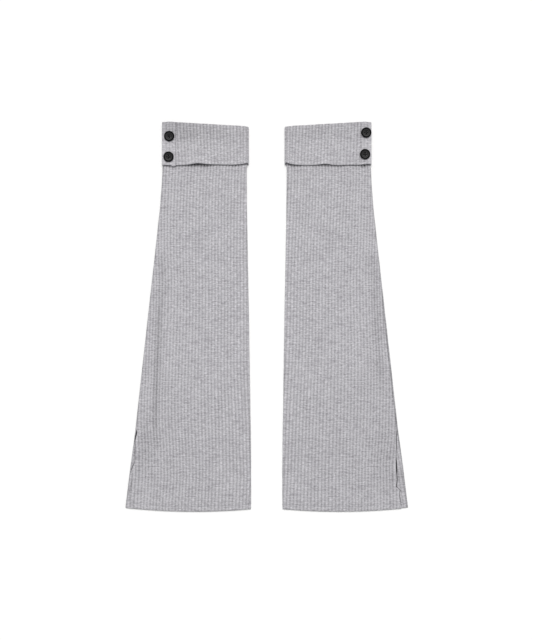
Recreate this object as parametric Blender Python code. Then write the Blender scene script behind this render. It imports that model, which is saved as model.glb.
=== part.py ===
"""A pair of flared leg warmers in rib knit, laid flat side by side with their cuffs turned down.

Each one has four kinds of piece. The leg is cut in one piece on its inner fold and is seamed along its outer
side, where the seam is left open above the hem as a slit. The cuff is a band all round, turned down over the
top of the leg. The placket is a smooth strip on the cuff's outer side, and it carries two buttons.

World axes: +X to the right, +Y towards the cuffs, +Z up from the surface that the pair lies on.
Sizes are in millimetres, and place() turns them into metres. Three words give a point on a leg warmer:
"out" is its distance from the line midway between the pair, "down" its distance below the top of the cuff,
and "height" its distance above the surface.
"""

import math
from collections import namedtuple

import bmesh
import bpy
from mathutils import Vector

MM = 0.001

# ---------------------------------------------------------------- driving dimensions
LENGTH = 500.0  # top of the cuff to the lowest point of the hem
WALL = 1.2  # cloth without its ribs
RIB_RISE = 0.7  # how far a rib stands above the valley beside it
RIB_SHOULDER = 0.28  # share of a rib's width that its rising side takes
RIB_PITCH_TOP = 3.99  # rib spacing on the leg, just below the cuff
RIB_PITCH_HEM = 4.36  # the same at the hem, where the leg is stretched
SEAM_GAP = 0.3  # clearance between two pieces, or two layers, that touch
LAYER_GAP = 0.35  # clearance between the layers that are folded tightly at the cuff
TUBE_CLEAR = 0.2  # half the clear height inside the leg's top, where it is pressed flat
CUFF_DEPTH = 56.0  # depth of the turned-down cuff at its outer side
CUFF_INNER = 23.0  # out: the cuff's inner side
CUFF_OUTER = 134.0  # out: the cuff's outer side
CUFF_RIB_PITCH = 4.15
FOLD_SLOPE = 0.0575  # the top fold drops by this share of the way towards the inner side
CUFF_TUCK = 8.0  # how far the cuff runs down inside its own fold, to where the leg is sewn on
SIDE_AIR = 1.4  # clear height inside the leg at its inner fold
HEM_SAG = 16.0  # the hem bows down as a parabola of this depth over the leg's full width
HEM_LOWEST = 0.45  # where the hem is lowest, as a share of the width from the inner side
HEM_REACH = 70.0  # how far above the hem the cloth follows its bow
SLIT_TOP = 390.0  # down: where the outer seam ends and the slit begins
SIDE_BLEND = 30.0  # distance from the inner fold in which the leg comes to its full clear height
EDGE_BLEND = 14.0  # distance from the front's outer edge in which it does
BEND_STEPS = 5  # flat facets round the fold at a side
LEG_BACK_SHARES = (0.0, 0.2, 0.4, 0.6, 0.8, 0.93, 1.0)  # columns of the leg's back, from its inner fold
CUFF_BACK_STEPS = 4  # flat facets across the cuff's back
PLACKET_WALL = 1.0
PLACKET_END = 45.0  # degrees: how far the placket turns over the top fold, and down the cuff's outer side
BUTTON_RADIUS = 6.65
BUTTON_SIDES = 24
BUTTON_SAMPLES = 6  # places tested on each side of a button's middle when it is seated
BUTTON_HOLE_RADIUS = 0.75
BUTTON_HOLE_OFFSET = 1.35  # each of the four holes from the middle, along and across
BUTTON_HOLE_SIDES = 8
WELD = 0.01  # points closer than this are one
SHARP_ANGLE = 50.0  # degrees: edges sharper than this aren't shaded smooth

# Sections across a leg, from its top to the hem. inner and outer are the sides of the flat leg, under is how
# high its back lies (the cuff's back is below it at the top), air is the clear height between back and front
# in the middle, and rib is how much of the ribs' full rise shows.
Section = namedtuple("Section", "down inner outer under air rib")
SECTIONS = (
    Section(8.3, 24.7, 130.6, 1.55, 0.35, 0.0),
    Section(47.0, 25.6, 131.2, 1.55, 0.35, 0.0),
    Section(56.6, 25.8, 131.6, 1.55, 0.45, 0.9),
    Section(59.5, 25.8, 133.4, 1.4, 0.6, 1.0),
    Section(80.0, 25.5, 134.5, 0.0, 1.7, 1.0),
    Section(111.0, 25.2, 136.9, 0.0, 1.9, 1.0),
    Section(173.0, 24.3, 143.7, 0.0, 2.0, 1.0),
    Section(249.0, 22.8, 152.2, 0.0, 1.9, 1.0),
    Section(326.0, 21.7, 160.8, 0.0, 1.8, 1.0),
    Section(395.0, 20.8, 168.4, 0.0, 1.8, 1.0),
    Section(445.0, 20.3, 175.1, 0.0, 1.5, 1.0),
    Section(491.0, 19.9, 180.1, 0.0, 1.2, 1.0),
    Section(LENGTH, 19.8, 181.1, 0.0, 0.7, 0.8),
)
LONGEST_SPAN = 52.0  # sections further apart than this get another one between them

# The front's outer edge against the back's. Above the slit it lies just inside the seam, and in the slit it
# stands back from the back's edge and lifts off it.
EdgeRow = namedtuple("EdgeRow", "down setback lift")
FRONT_EDGES = {
    "left": (
        EdgeRow(61.0, 0.1, 0.0),
        EdgeRow(SLIT_TOP, 0.3, 0.0),
        EdgeRow(403.0, 1.9, 1.2),
        EdgeRow(421.0, 3.3, 1.2),
        EdgeRow(436.0, 5.2, 1.0),
        EdgeRow(445.0, 2.6, 0.7),
        EdgeRow(460.0, 0.8, 0.4),
        EdgeRow(LENGTH, 0.4, 0.2),
    ),
    "right": (
        EdgeRow(61.0, 0.3, 0.0),
        EdgeRow(200.0, 1.2, 0.0),
        EdgeRow(260.0, 1.8, 0.0),
        EdgeRow(SLIT_TOP, 1.6, 0.0),
        EdgeRow(403.0, 3.3, 1.0),
        EdgeRow(434.0, 8.1, 1.5),
        EdgeRow(452.0, 9.6, 1.2),
        EdgeRow(469.0, 11.6, 0.9),
        EdgeRow(480.0, 8.6, 0.6),
        EdgeRow(LENGTH, 8.2, 0.3),
    ),
}

# Long soft troughs, and ridges where depth is below 0, down the front of a leg. Each runs through three
# places given as (down, out), fades at both ends, and is as deep as depth where its middle line passes.
Crease = namedtuple("Crease", "top middle low half_width depth")
CREASE_FADE = 45.0
CREASES = {
    "left": (
        Crease((158.0, 131.0), (304.0, 140.6), (415.0, 143.5), 5.0, 1.3),
        Crease((215.0, 58.0), (330.0, 55.0), (455.0, 56.5), 9.0, 0.5),
        Crease((95.0, 96.0), (200.0, 101.0), (330.0, 107.0), 10.0, -0.4),
        Crease((330.0, 118.0), (410.0, 121.0), (490.0, 127.0), 8.0, 0.4),
    ),
    "right": (
        Crease((150.0, 134.0), (275.0, 142.2), (372.0, 146.8), 6.0, 1.2),
        Crease((120.0, 62.0), (230.0, 58.0), (350.0, 60.0), 9.0, 0.4),
        Crease((290.0, 92.0), (390.0, 96.0), (485.0, 95.0), 10.0, -0.4),
        Crease((400.0, 140.0), (450.0, 145.0), (498.0, 152.0), 7.0, 0.5),
    ),
}

# Rows of the cuff's turned-down layer, from its lower edge up to the fold. share is the way down from the
# fold to the edge, rise is how far the front bows up off the leg there, and rib the share of the ribs' rise.
CuffRow = namedtuple("CuffRow", "share rise rib")
CUFF_ROWS = (
    CuffRow(1.0, 1.5, 0.5),
    CuffRow(0.87, 1.15, 0.7),
    CuffRow(0.5, 1.0, 1.0),
    CuffRow(0.22, 0.8, 1.0),
    CuffRow(0.06, 0.2, 0.8),
)
FOLD_ANGLES = (0.0, 45.0, 90.0, 180.0)  # from the outer layer, over the top, to the inner layer

# Waves in the cuff's lower edge, where it pulls up by rise around a place, or sags where rise is below 0.
EdgeWave = namedtuple("EdgeWave", "out half_width rise")
CUFF_WAVES = {
    "left": (
        EdgeWave(22.0, 13.0, 1.75),
        EdgeWave(70.0, 14.0, 0.45),
        EdgeWave(88.0, 10.0, 1.7),
        EdgeWave(115.0, 14.0, -0.7),
    ),
    "right": (
        EdgeWave(22.0, 10.0, 2.3),
        EdgeWave(53.0, 11.0, -0.45),
        EdgeWave(75.0, 8.0, 1.15),
        EdgeWave(92.0, 10.0, -0.75),
        EdgeWave(134.0, 10.0, 1.0),
    ),
}

# The placket's inner edge, and its lower end: it drops below the cuff's edge by drop around drop_out.
Placket = namedtuple("Placket", "inner drop_out half_width drop")
PLACKETS = {
    "left": Placket(116.2, 119.2, 2.5, 1.3),
    "right": Placket(120.6, 125.5, 4.5, -0.5),
}
DROP_SHARES = (-1.0, -0.6, 0.0, 0.6, 1.0)  # columns across the drop, as shares of its half width

# Middle of each button on its placket.
ButtonPlace = namedtuple("ButtonPlace", "level out down")
BUTTONS = {
    "left": (ButtonPlace("upper", 124.6, 19.4), ButtonPlace("lower", 125.4, 45.8)),
    "right": (ButtonPlace("upper", 127.2, 14.9), ButtonPlace("lower", 125.7, 42.5)),
}

# Half section of a button: (distance from its axis, height above its back).
BUTTON_PROFILE = (
    (0.0, 0.0),
    (5.0, 0.0),
    (6.2, 0.6),
    (BUTTON_RADIUS, 1.4),
    (6.4, 2.1),
    (5.9, 2.4),
    (5.3, 2.2),
    (4.8, 1.65),
    (0.0, 1.3),
)

SIGNS = {"left": -1.0, "right": 1.0}
KNIT_GREY = (0.462, 0.456, 0.479, 1.0)
BUTTON_BLACK = (0.022, 0.022, 0.023, 1.0)
KNIT_ROUGHNESS = 0.95
BUTTON_ROUGHNESS = 0.5

# ---------------------------------------------------------------- places worked out from the dimensions
CUFF_REACH = TUBE_CLEAR + 2 * WALL + LAYER_GAP  # from the middle of the four layers to the cuff's outside
CORE_HEIGHT = CUFF_REACH  # height of that middle, so that the cuff's back rests on the surface
CUFF_BEND_INNER = CUFF_INNER + CUFF_REACH
CUFF_BEND_OUTER = CUFF_OUTER - CUFF_REACH
FOLD_MIDDLE = (TUBE_CLEAR + CUFF_REACH) / 2
FOLD_RADIUS = (CUFF_REACH - TUBE_CLEAR) / 2


def lerp(low, high, share):
    return low + (high - low) * share


def smooth(low, high, value):
    """0 below low, 1 above high, and an S-curve between them."""
    share = min(max((value - low) / (high - low), 0.0), 1.0)
    return share * share * (3.0 - 2.0 * share)


def interpolate(rows, down):
    """The row of a table with a down column that belongs to this distance down, between its neighbours."""
    if down <= rows[0].down:
        return rows[0]
    for above, below in zip(rows, rows[1:]):
        if down <= below.down:
            share = (down - above.down) / (below.down - above.down)
            return type(above)(*(lerp(a, b, share) for a, b in zip(above, below)))
    return rows[-1]


def bump(distance, half_width):
    return math.exp(-((distance / half_width) ** 2))


def place(side, point):
    out, down, height = point
    return Vector((SIGNS[side] * out, LENGTH / 2 - down, height)) * MM


def rib_crest(number):
    """Height of the rib profile at a place counted in ribs: 0 in a valley, 1 on the flat of a rib."""
    share = number % 1.0
    return min(min(share, 1.0 - share) / RIB_SHOULDER, 1.0)


def fold_line(out):
    """How far down the cuff's top fold lies."""
    return FOLD_SLOPE * (CUFF_OUTER - out)


# ---------------------------------------------------------------- one wall of cloth
Column = namedtuple("Column", "place fine")


def add_face(mesh, corners):
    """A face through these corners, leaving out those that repeat, or none if fewer than three are left."""
    kept = [c for i, c in enumerate(corners) if c is not corners[i - 1]]
    if len(kept) > 2:
        mesh.faces.new(kept)


def cloth_wall(name, side, rows, columns, closed, outer_point, inner_point):
    """A closed solid between two skins. Both are grids of rows by columns, and only the outer skin has the
    fine columns, which carry the ribs. A closed wall's last column meets its first."""
    mesh = bmesh.new()
    known = {}

    def corner(skin, point):
        key = (skin, *(round(value, 4) for value in point))
        if key not in known:
            known[key] = mesh.verts.new(place(side, point))
        return known[key]

    def inner_corner(row, column):
        return None if column.fine else corner("inner", inner_point(row, column.place))

    outer = [[corner("outer", outer_point(row, column.place)) for column in columns] for row in rows]
    inner = [[inner_corner(row, column) for column in columns] for row in rows]
    coarse = [i for i, column in enumerate(columns) if not column.fine]
    stretches = list(zip(coarse, coarse[1:]))
    for start, end in stretches:
        steps = range(start, end)
        for upper, lower in zip(range(len(rows)), range(1, len(rows))):
            for i in steps:
                add_face(mesh, (outer[upper][i], outer[upper][i + 1], outer[lower][i + 1], outer[lower][i]))
            add_face(mesh, (inner[upper][end], inner[upper][start], inner[lower][start], inner[lower][end]))
        for row, turn in ((0, 1), (len(rows) - 1, -1)):
            rim = [outer[row][i] for i in range(start, end + 1)] + [inner[row][end], inner[row][start]]
            add_face(mesh, rim[::-turn])
    if not closed:
        for column, turn in ((0, 1), (len(columns) - 1, -1)):
            for upper, lower in zip(range(len(rows)), range(1, len(rows))):
                outside = [outer[upper][column], outer[lower][column]]
                inside = [inner[lower][column], inner[upper][column]]
                add_face(mesh, (outside + inside)[::turn])
    bmesh.ops.recalc_face_normals(mesh, faces=mesh.faces)
    data = bpy.data.meshes.new(name)
    mesh.to_mesh(data)
    mesh.free()
    return data


def rib_columns(count):
    """Columns numbered in ribs, from 0 to count: each valley, and the two shoulders of each rib."""
    columns = []
    for number in range(count):
        columns.append(Column(("front", float(number)), False))
        columns.append(Column(("front", number + RIB_SHOULDER), True))
        columns.append(Column(("front", number + 1.0 - RIB_SHOULDER), True))
    columns.append(Column(("front", float(count)), False))
    return columns


# ---------------------------------------------------------------- the leg
def side_radius(section):
    """Outer radius of the inner fold."""
    return WALL + min(section.air, SIDE_AIR) / 2


def leg_down(section, out):
    """How far down a point of this section lies: the top follows the cuff's fold and the hem bows down."""
    share = (out - section.inner) / (section.outer - section.inner)
    hem_lift = HEM_SAG * (share - HEM_LOWEST) ** 2
    near_top = 1.0 - smooth(SECTIONS[0].down, CUFF_DEPTH, section.down)
    near_hem = smooth(LENGTH - HEM_REACH, LENGTH, section.down)
    return section.down + near_top * fold_line(out) - near_hem * hem_lift


def crease_depth(side, out, down):
    total = 0.0
    for crease in CREASES[side]:
        (top, top_out), (middle, middle_out), (low, low_out) = crease.top, crease.middle, crease.low
        if down < middle:
            line = lerp(top_out, middle_out, (down - top) / (middle - top))
        else:
            line = lerp(middle_out, low_out, (down - middle) / (low - middle))
        fade = smooth(0.0, CREASE_FADE, down - top) * smooth(0.0, CREASE_FADE, low - down)
        total += crease.depth * fade * bump(out - line, crease.half_width)
    return total


def front_air(side, section, out, edge, start):
    """Clear height between the back and the front, here."""
    edge_row = interpolate(FRONT_EDGES[side], section.down)
    at_side = min(section.air, SIDE_AIR)
    air = lerp(at_side, section.air, smooth(0.0, SIDE_BLEND, out - start))
    air -= crease_depth(side, out, section.down)
    at_edge = SEAM_GAP + edge_row.lift
    return max(lerp(at_edge, air, smooth(0.0, EDGE_BLEND, edge - out)), SEAM_GAP)


def leg_front(side, section, number, skin):
    """A point of the front, at a place counted in ribs from the inner fold and stopped at the outer edge."""
    start = section.inner + side_radius(section)
    pitch = lerp(RIB_PITCH_TOP, RIB_PITCH_HEM, section.down / LENGTH)
    edge = section.outer - interpolate(FRONT_EDGES[side], section.down).setback
    last = (edge - start) / pitch
    at_edge = number > last - RIB_SHOULDER / 2
    out = edge if at_edge else start + number * pitch
    base = section.under + 2 * WALL + front_air(side, section, out, edge, start)
    rise = 0.0 if at_edge else RIB_RISE * section.rib * rib_crest(number)
    return out, leg_down(section, out), base + rise if skin == "outer" else base - WALL


def leg_point(side, section, spot, skin):
    """A point of the leg's outer or inner skin. The outer skin goes along the front, round the fold and along
    the underside of the back."""
    stretch, value = spot
    if stretch == "front":
        return leg_front(side, section, value, skin)
    radius = side_radius(section)
    start = section.inner + radius
    if stretch == "bend":
        reach = radius if skin == "outer" else radius - WALL
        out = start - reach * math.sin(math.radians(value))
        height = section.under + radius + reach * math.cos(math.radians(value))
        return out, leg_down(section, out), height
    out = lerp(start, section.outer, value)
    return out, leg_down(section, out), section.under + (0.0 if skin == "outer" else WALL)


def leg_sections(side):
    """The sections of the table, those where the front's edge turns, and more where they lie far apart."""
    turns = {row.down for row in FRONT_EDGES[side] if row.down > SLIT_TOP}
    downs = sorted({section.down for section in SECTIONS} | turns)
    halfway = [(above + below) / 2 for above, below in zip(downs, downs[1:]) if below - above > LONGEST_SPAN]
    return [interpolate(SECTIONS, down) for down in sorted(downs + halfway)]


def make_leg(side):
    widest = SECTIONS[-1].outer - SECTIONS[-1].inner
    front = rib_columns(math.ceil(widest / RIB_PITCH_HEM))
    bend = [Column(("bend", 180.0 * i / BEND_STEPS), False) for i in range(1, BEND_STEPS)]
    back = [Column(("back", share), False) for share in LEG_BACK_SHARES]
    return cloth_wall(
        f"{side}_leg",
        side,
        leg_sections(side),
        front[::-1] + bend + back,
        False,
        lambda section, spot: leg_point(side, section, spot, "outer"),
        lambda section, spot: leg_point(side, section, spot, "inner"),
    )


# ---------------------------------------------------------------- the cuff and the placket
def cuff_low(side, out, facing):
    """How far down the cuff's lower edge is. facing is 1 on the front, -1 on the back, 0 at the sides."""
    waves = sum(w.rise * bump(out - w.out, w.half_width) for w in CUFF_WAVES[side])
    return CUFF_DEPTH - waves * (1.0 + facing) / 2


def cuff_station(side, spot):
    """(out of the cuff's core line, direction out of the cloth, rib number or None) at a place on it."""
    stretch, value = spot
    if stretch == "front":
        return CUFF_BEND_INNER + value * cuff_pitch(side), 90.0, value
    if stretch == "plain":
        return value, 90.0, None
    if stretch == "outer bend":
        return CUFF_BEND_OUTER, value, None
    if stretch == "back":
        return value, -90.0, None
    return CUFF_BEND_INNER, value, None


def cuff_ribs(side):
    return round((PLACKETS[side].inner - CUFF_BEND_INNER) / CUFF_RIB_PITCH)


def cuff_pitch(side):
    """The rib spacing that fits whole ribs between the inner fold and the placket."""
    return (PLACKETS[side].inner - CUFF_BEND_INNER) / cuff_ribs(side)


def cuff_point(side, row, spot, lift, extra_drop=0.0):
    """A point at a distance, lift, off the cuff's outer skin. A row is a CuffRow of the turned-down layer, an
    angle round the fold, or "end", where the cuff stops inside its fold."""
    core, direction, number = cuff_station(side, spot)
    across, facing = math.cos(math.radians(direction)), math.sin(math.radians(direction))
    fold = fold_line(core)
    crest = 0.0 if number is None else RIB_RISE * rib_crest(number)
    rise = 0.0
    if isinstance(row, CuffRow):
        depth = cuff_low(side, core, facing) + extra_drop - fold
        down = fold + row.share * depth
        reach = CUFF_REACH + lift + (crest * row.rib if lift >= 0.0 else 0.0)
        rise = row.rise * max(facing, 0.0)
    elif row == "end":
        down = fold + CUFF_TUCK
        reach = TUBE_CLEAR - lift
    else:
        ribs = CUFF_ROWS[-1].rib * max(math.cos(math.radians(row)), 0.0)
        radius = FOLD_RADIUS + lift + (crest * ribs if lift >= 0.0 else 0.0)
        down = fold + FOLD_RADIUS - radius * math.sin(math.radians(row))
        reach = FOLD_MIDDLE + radius * math.cos(math.radians(row))
    return core + across * reach, down, CORE_HEIGHT + facing * reach + rise


def bend_columns(name, start, end):
    """Columns round a side of the cuff, between the flat parts that end there."""
    return [Column((name, lerp(start, end, i / BEND_STEPS)), False) for i in range(1, BEND_STEPS)]


def placket_outs(side):
    """Columns across the placket's flat part, closest where its lower end drops."""
    placket = PLACKETS[side]
    near_drop = [placket.drop_out + share * placket.half_width for share in DROP_SHARES]
    return [placket.inner, *near_drop, CUFF_BEND_OUTER]


def make_cuff(side):
    front = rib_columns(cuff_ribs(side))
    plain = [Column(("plain", out), False) for out in placket_outs(side)[1:]]
    shares = [i / CUFF_BACK_STEPS for i in range(CUFF_BACK_STEPS + 1)]
    back = [Column(("back", lerp(CUFF_BEND_OUTER, CUFF_BEND_INNER, share)), False) for share in shares]
    ring = front + plain + bend_columns("outer bend", 90.0, -90.0) + back
    ring += bend_columns("inner bend", -90.0, -270.0) + front[:1]
    return cloth_wall(
        f"{side}_cuff",
        side,
        [*CUFF_ROWS, *FOLD_ANGLES, "end"],
        ring,
        True,
        lambda row, spot: cuff_point(side, row, spot, 0.0),
        lambda row, spot: cuff_point(side, row, spot, -WALL),
    )


def placket_point(side, row, spot, lift):
    """A point off the cuff's outer skin, with the placket's own lower end."""
    placket = PLACKETS[side]
    out = cuff_station(side, spot)[0]
    off = (out - placket.drop_out) / placket.half_width
    return cuff_point(side, row, spot, lift, placket.drop * math.exp(-(off**4)))


def make_placket(side):
    columns = [Column(("plain", out), False) for out in placket_outs(side)]
    columns += [Column(("outer bend", lerp(90.0, PLACKET_END, share)), False) for share in (0.5, 1.0)]
    return cloth_wall(
        f"{side}_placket",
        side,
        [*CUFF_ROWS, 0.0, PLACKET_END],
        columns,
        False,
        lambda row, spot: placket_point(side, row, spot, SEAM_GAP + PLACKET_WALL),
        lambda row, spot: placket_point(side, row, spot, SEAM_GAP),
    )


# ---------------------------------------------------------------- the buttons
def placket_height(side, out, down):
    """Height of the placket's outside, straight between the cuff's rows."""
    fold = fold_line(out)
    share = (down - fold) / (cuff_low(side, out, 1.0) - fold)
    rows = CUFF_ROWS[::-1]
    rise = rows[0].rise
    for near, far in zip(rows, rows[1:]):
        if share > near.share:
            rise = lerp(near.rise, far.rise, min((share - near.share) / (far.share - near.share), 1.0))
    return CORE_HEIGHT + CUFF_REACH + SEAM_GAP + PLACKET_WALL + rise


def button_seat(side, spot):
    """(height of the button's back at its middle, its slope along the leg), clear of the placket all over."""
    above = placket_height(side, spot.out, spot.down - BUTTON_RADIUS)
    below = placket_height(side, spot.out, spot.down + BUTTON_RADIUS)
    slope = (below - above) / (2 * BUTTON_RADIUS)
    steps = [BUTTON_RADIUS * i / BUTTON_SAMPLES for i in range(-BUTTON_SAMPLES, BUTTON_SAMPLES + 1)]
    height = max(placket_height(side, spot.out, spot.down + step) - slope * step for step in steps)
    return height + SEAM_GAP, slope


def button_mesh():
    """A turned disc with a rim, its four thread holes cut through."""
    disc = bmesh.new()
    points = [disc.verts.new(Vector((radius, 0.0, height)) * MM) for radius, height in BUTTON_PROFILE]
    edges = [disc.edges.new(pair) for pair in zip(points, points[1:])]
    bmesh.ops.spin(
        disc,
        geom=points + edges,
        cent=(0, 0, 0),
        axis=(0, 0, 1),
        angle=math.tau,
        steps=BUTTON_SIDES,
        use_merge=True,
    )
    bmesh.ops.remove_doubles(disc, verts=disc.verts, dist=WELD * MM)
    bmesh.ops.recalc_face_normals(disc, faces=disc.faces)
    blank = add_object("button_blank", disc)
    drills = bmesh.new()
    for across in (-BUTTON_HOLE_OFFSET, BUTTON_HOLE_OFFSET):
        for along in (-BUTTON_HOLE_OFFSET, BUTTON_HOLE_OFFSET):
            made = bmesh.ops.create_cone(
                drills,
                cap_ends=True,
                segments=BUTTON_HOLE_SIDES,
                radius1=BUTTON_HOLE_RADIUS * MM,
                radius2=BUTTON_HOLE_RADIUS * MM,
                depth=2 * BUTTON_RADIUS * MM,
            )
            bmesh.ops.translate(drills, verts=made["verts"], vec=Vector((across, along, 0.0)) * MM)
    drill = add_object("button_drill", drills)
    cut = blank.modifiers.new("thread holes", "BOOLEAN")
    cut.operation = "DIFFERENCE"
    cut.solver = "EXACT"
    cut.object = drill
    bpy.context.view_layer.update()
    finished = bpy.data.meshes.new_from_object(blank.evaluated_get(bpy.context.evaluated_depsgraph_get()))
    for helper in (blank, drill):
        bpy.data.objects.remove(helper, do_unlink=True)
    finished.name = "button"
    return finished


# ---------------------------------------------------------------- the scene
def add_object(name, mesh):
    data = bpy.data.meshes.new(name)
    mesh.to_mesh(data)
    mesh.free()
    made = bpy.data.objects.new(name, data)
    bpy.context.scene.collection.objects.link(made)
    return made


def add_piece(name, data, material, parent):
    """An object for one sewn piece, rounded smooth apart from its sharp edges."""
    made = bpy.data.objects.new(name, data)
    bpy.context.scene.collection.objects.link(made)
    made.parent = parent
    data.shade_smooth()
    data.set_sharp_from_angle(angle=math.radians(SHARP_ANGLE))
    if not data.materials:
        data.materials.append(material)
    return made


def add_material(name, colour, roughness):
    material = bpy.data.materials.new(name)
    material.use_nodes = True
    shader = material.node_tree.nodes["Principled BSDF"]
    shader.inputs["Base Color"].default_value = colour
    shader.inputs["Roughness"].default_value = roughness
    shader.inputs["Metallic"].default_value = 0.0
    return material


def clear_scene():
    for found in list(bpy.data.objects):
        bpy.data.objects.remove(found, do_unlink=True)


def main():
    clear_scene()
    knit = add_material("heather_grey_rib_knit", KNIT_GREY, KNIT_ROUGHNESS)
    plastic = add_material("black_polyester_button", BUTTON_BLACK, BUTTON_ROUGHNESS)
    button = button_mesh()
    for side in SIGNS:
        holder = bpy.data.objects.new(f"{side}_leg_warmer", None)
        bpy.context.scene.collection.objects.link(holder)
        add_piece(f"{side}_leg", make_leg(side), knit, holder)
        add_piece(f"{side}_cuff", make_cuff(side), knit, holder)
        add_piece(f"{side}_placket", make_placket(side), knit, holder)
        for spot in BUTTONS[side]:
            height, slope = button_seat(side, spot)
            made = add_piece(f"{side}_button_{spot.level}", button, plastic, holder)
            made.location = place(side, (spot.out, spot.down, height))
            made.rotation_euler.x = -math.atan(slope)


main()
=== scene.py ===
"""A pair of flared leg warmers in heather-grey rib knit, laid flat with their cuffs turned down.

Each one is a leg, knitted with ribs that run down from the cuff and seamed along its outer side down to a
slit; a cuff, turned down over the leg's top; a smooth placket on the cuff's outer side; and two black
buttons.

Sizes in the code are millimetres. Three words give a point on a leg warmer: "out" is its distance from the
line midway between the pair, "down" its distance below the top of the cuff, and "height" its distance above
the floor. Where a table or a rule says tuck, it is painted shade: how much darker the cloth's colour is made
where it would lie out of the light. Below 0 it is painted light.
"""

import math
from collections import namedtuple
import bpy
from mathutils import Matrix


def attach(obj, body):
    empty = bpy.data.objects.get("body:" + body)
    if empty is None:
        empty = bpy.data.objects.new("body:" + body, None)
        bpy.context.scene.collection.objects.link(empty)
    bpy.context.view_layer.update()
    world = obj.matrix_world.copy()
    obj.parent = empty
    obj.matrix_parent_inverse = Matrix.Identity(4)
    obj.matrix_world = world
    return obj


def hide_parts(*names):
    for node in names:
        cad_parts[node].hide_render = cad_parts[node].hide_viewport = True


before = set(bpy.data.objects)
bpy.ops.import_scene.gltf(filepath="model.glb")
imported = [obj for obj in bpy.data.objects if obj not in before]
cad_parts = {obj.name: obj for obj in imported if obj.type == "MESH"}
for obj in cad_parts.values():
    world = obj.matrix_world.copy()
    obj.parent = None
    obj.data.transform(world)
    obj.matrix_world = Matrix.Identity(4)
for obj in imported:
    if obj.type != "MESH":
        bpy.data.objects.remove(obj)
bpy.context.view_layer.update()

from types import SimpleNamespace

import bmesh
import bpy
from bpy.props import FloatProperty, FloatVectorProperty, PointerProperty
from mathutils import Matrix, Vector, noise

bl_info = {
    "name": "Rib-knit leg warmers",
    "version": (1, 0, 0),
    "blender": (4, 5, 0),
    "location": "3D View > Sidebar > Leg warmers",
    "description": "Knits a pair of flared leg warmers over their construction model",
    "category": "Object",
}

MM = 0.001
SIGNS = {"left": -1.0, "right": 1.0}
KNIT_MAP = "knit"  # U counts ribs, V is in millimetres along them
PAINTED_SHADE = "tucked"  # painted shade at each point, darkening the colour: 1 in a crease, more in a gap, painted light below 0
FROM_AXIS = "from_axis"  # millimetres from a button's axis


# ---------------------------------------------------------------- sizes and colours that a user would change
def linear(hex_colour):
    """An sRGB hex colour as linear red, green and blue."""
    shares = [int(hex_colour[i : i + 2], 16) / 255 for i in (1, 3, 5)]
    return [s / 12.92 if s <= 0.04045 else ((s + 0.055) / 1.055) ** 2.4 for s in shares]


def length_of(name, description, default):
    """A property for a length that is given in millimetres."""
    return FloatProperty(name=name, description=description, default=default * MM, unit="LENGTH", precision=4)


def colour_of(name, description, default):
    """A property for a colour that is given as an sRGB hex value."""
    shown = linear(default)
    return FloatVectorProperty(name=name, description=description, default=shown, subtype="COLOR", size=3)


def strength_of(name, description, default):
    return FloatProperty(name=name, description=description, default=default, min=0.0)


def angle_of(name, description, default):
    return FloatProperty(name=name, description=description, default=default, subtype="ANGLE")


class KnitSizes(bpy.types.PropertyGroup):
    """The sizes of the cloth. Its lengths are turned into millimetres by in_millimetres()."""

    length: length_of("Length", "Top of the cuff to the lowest point of the hem", 500.0)
    wall: length_of("Cloth", "Thickness of the cloth without its ribs", 1.2)
    rib_rise: length_of("Rib rise", "How far a rib stands above the valley beside it", 0.7)
    back_relief: length_of("Back relief", "Depth of the ribs on the side that is pressed flat", 0.35)
    pitch_top: length_of("Rib spacing, top", "Rib spacing on the leg just below the cuff", 3.99)
    pitch_hem: length_of("Rib spacing, hem", "Rib spacing on the leg at the hem", 4.36)
    cuff_pitch: length_of("Rib spacing, cuff", "Rib spacing on the cuff", 4.15)
    cuff_depth: length_of("Cuff depth", "Depth of the turned-down cuff at its outer side", 56.0)
    cuff_inner: length_of("Cuff inner side", "From the middle of the pair to the cuff's inner side", 23.0)
    cuff_outer: length_of("Cuff outer side", "From the middle of the pair to the cuff's outer side", 134.0)
    cuff_tuck: length_of("Cuff tuck", "How far the cuff runs down inside its own fold", 8.0)
    seam_gap: length_of("Seam gap", "Clearance between pieces that touch", 0.3)
    layer_gap: length_of("Layer gap", "Clearance between the layers pressed together at the cuff", 0.35)
    tube_clear: length_of("Tube clearance", "Half the clear height inside the pressed top of the leg", 0.2)
    hem_band: length_of("Hem depth", "From the edge of the hem or the cuff up to its row of stitches", 6.4)
    placket_wall: length_of("Placket cloth", "Thickness of the placket", 1.0)
    stitch_pitch: length_of("Stitch length", "Spacing of the stitches along a hem", 3.2)
    thread: length_of("Thread", "Diameter of the sewing thread as it lies, two strands together", 0.5)


class KnitColours(bpy.types.PropertyGroup):
    """The colours of the yarns, the thread, the buttons and the floor."""

    yarn: colour_of("Yarn", "The grey that most of the yarn's fibres have", "#B2B1B5")
    pale_fibre: colour_of("Pale fibres", "The palest fibres in the yarn", "#CFCDD2")
    dark_fibre: colour_of("Dark fibres", "The charcoal fibres in the yarn", "#767179")
    thread: colour_of("Thread", "The sewing thread", "#B4B3B8")
    button: colour_of("Buttons", "The polyester that the buttons are turned from", "#0B0B0C")
    button_thread: colour_of("Button thread", "The thread that holds the buttons", "#0A0A0B")
    floor: colour_of("Floor", "The paper that the pair lies on", "#F4F4F4")


class StageSettings(bpy.types.PropertyGroup):
    """The studio round the pair."""

    softbox_power: strength_of("Softbox", "Strength of the overhead light", 2.55)
    softbox_tilt: angle_of("Softbox tilt", "How far the light leans towards the cuffs", 0.45)
    softbox_width: angle_of("Softbox width", "How wide the light looks from the floor", 0.5)
    room_light: strength_of("Room", "Strength of the light from all round", 0.45)
    camera_height: length_of("Camera height", "Camera above the floor", 2280.0)


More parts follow.
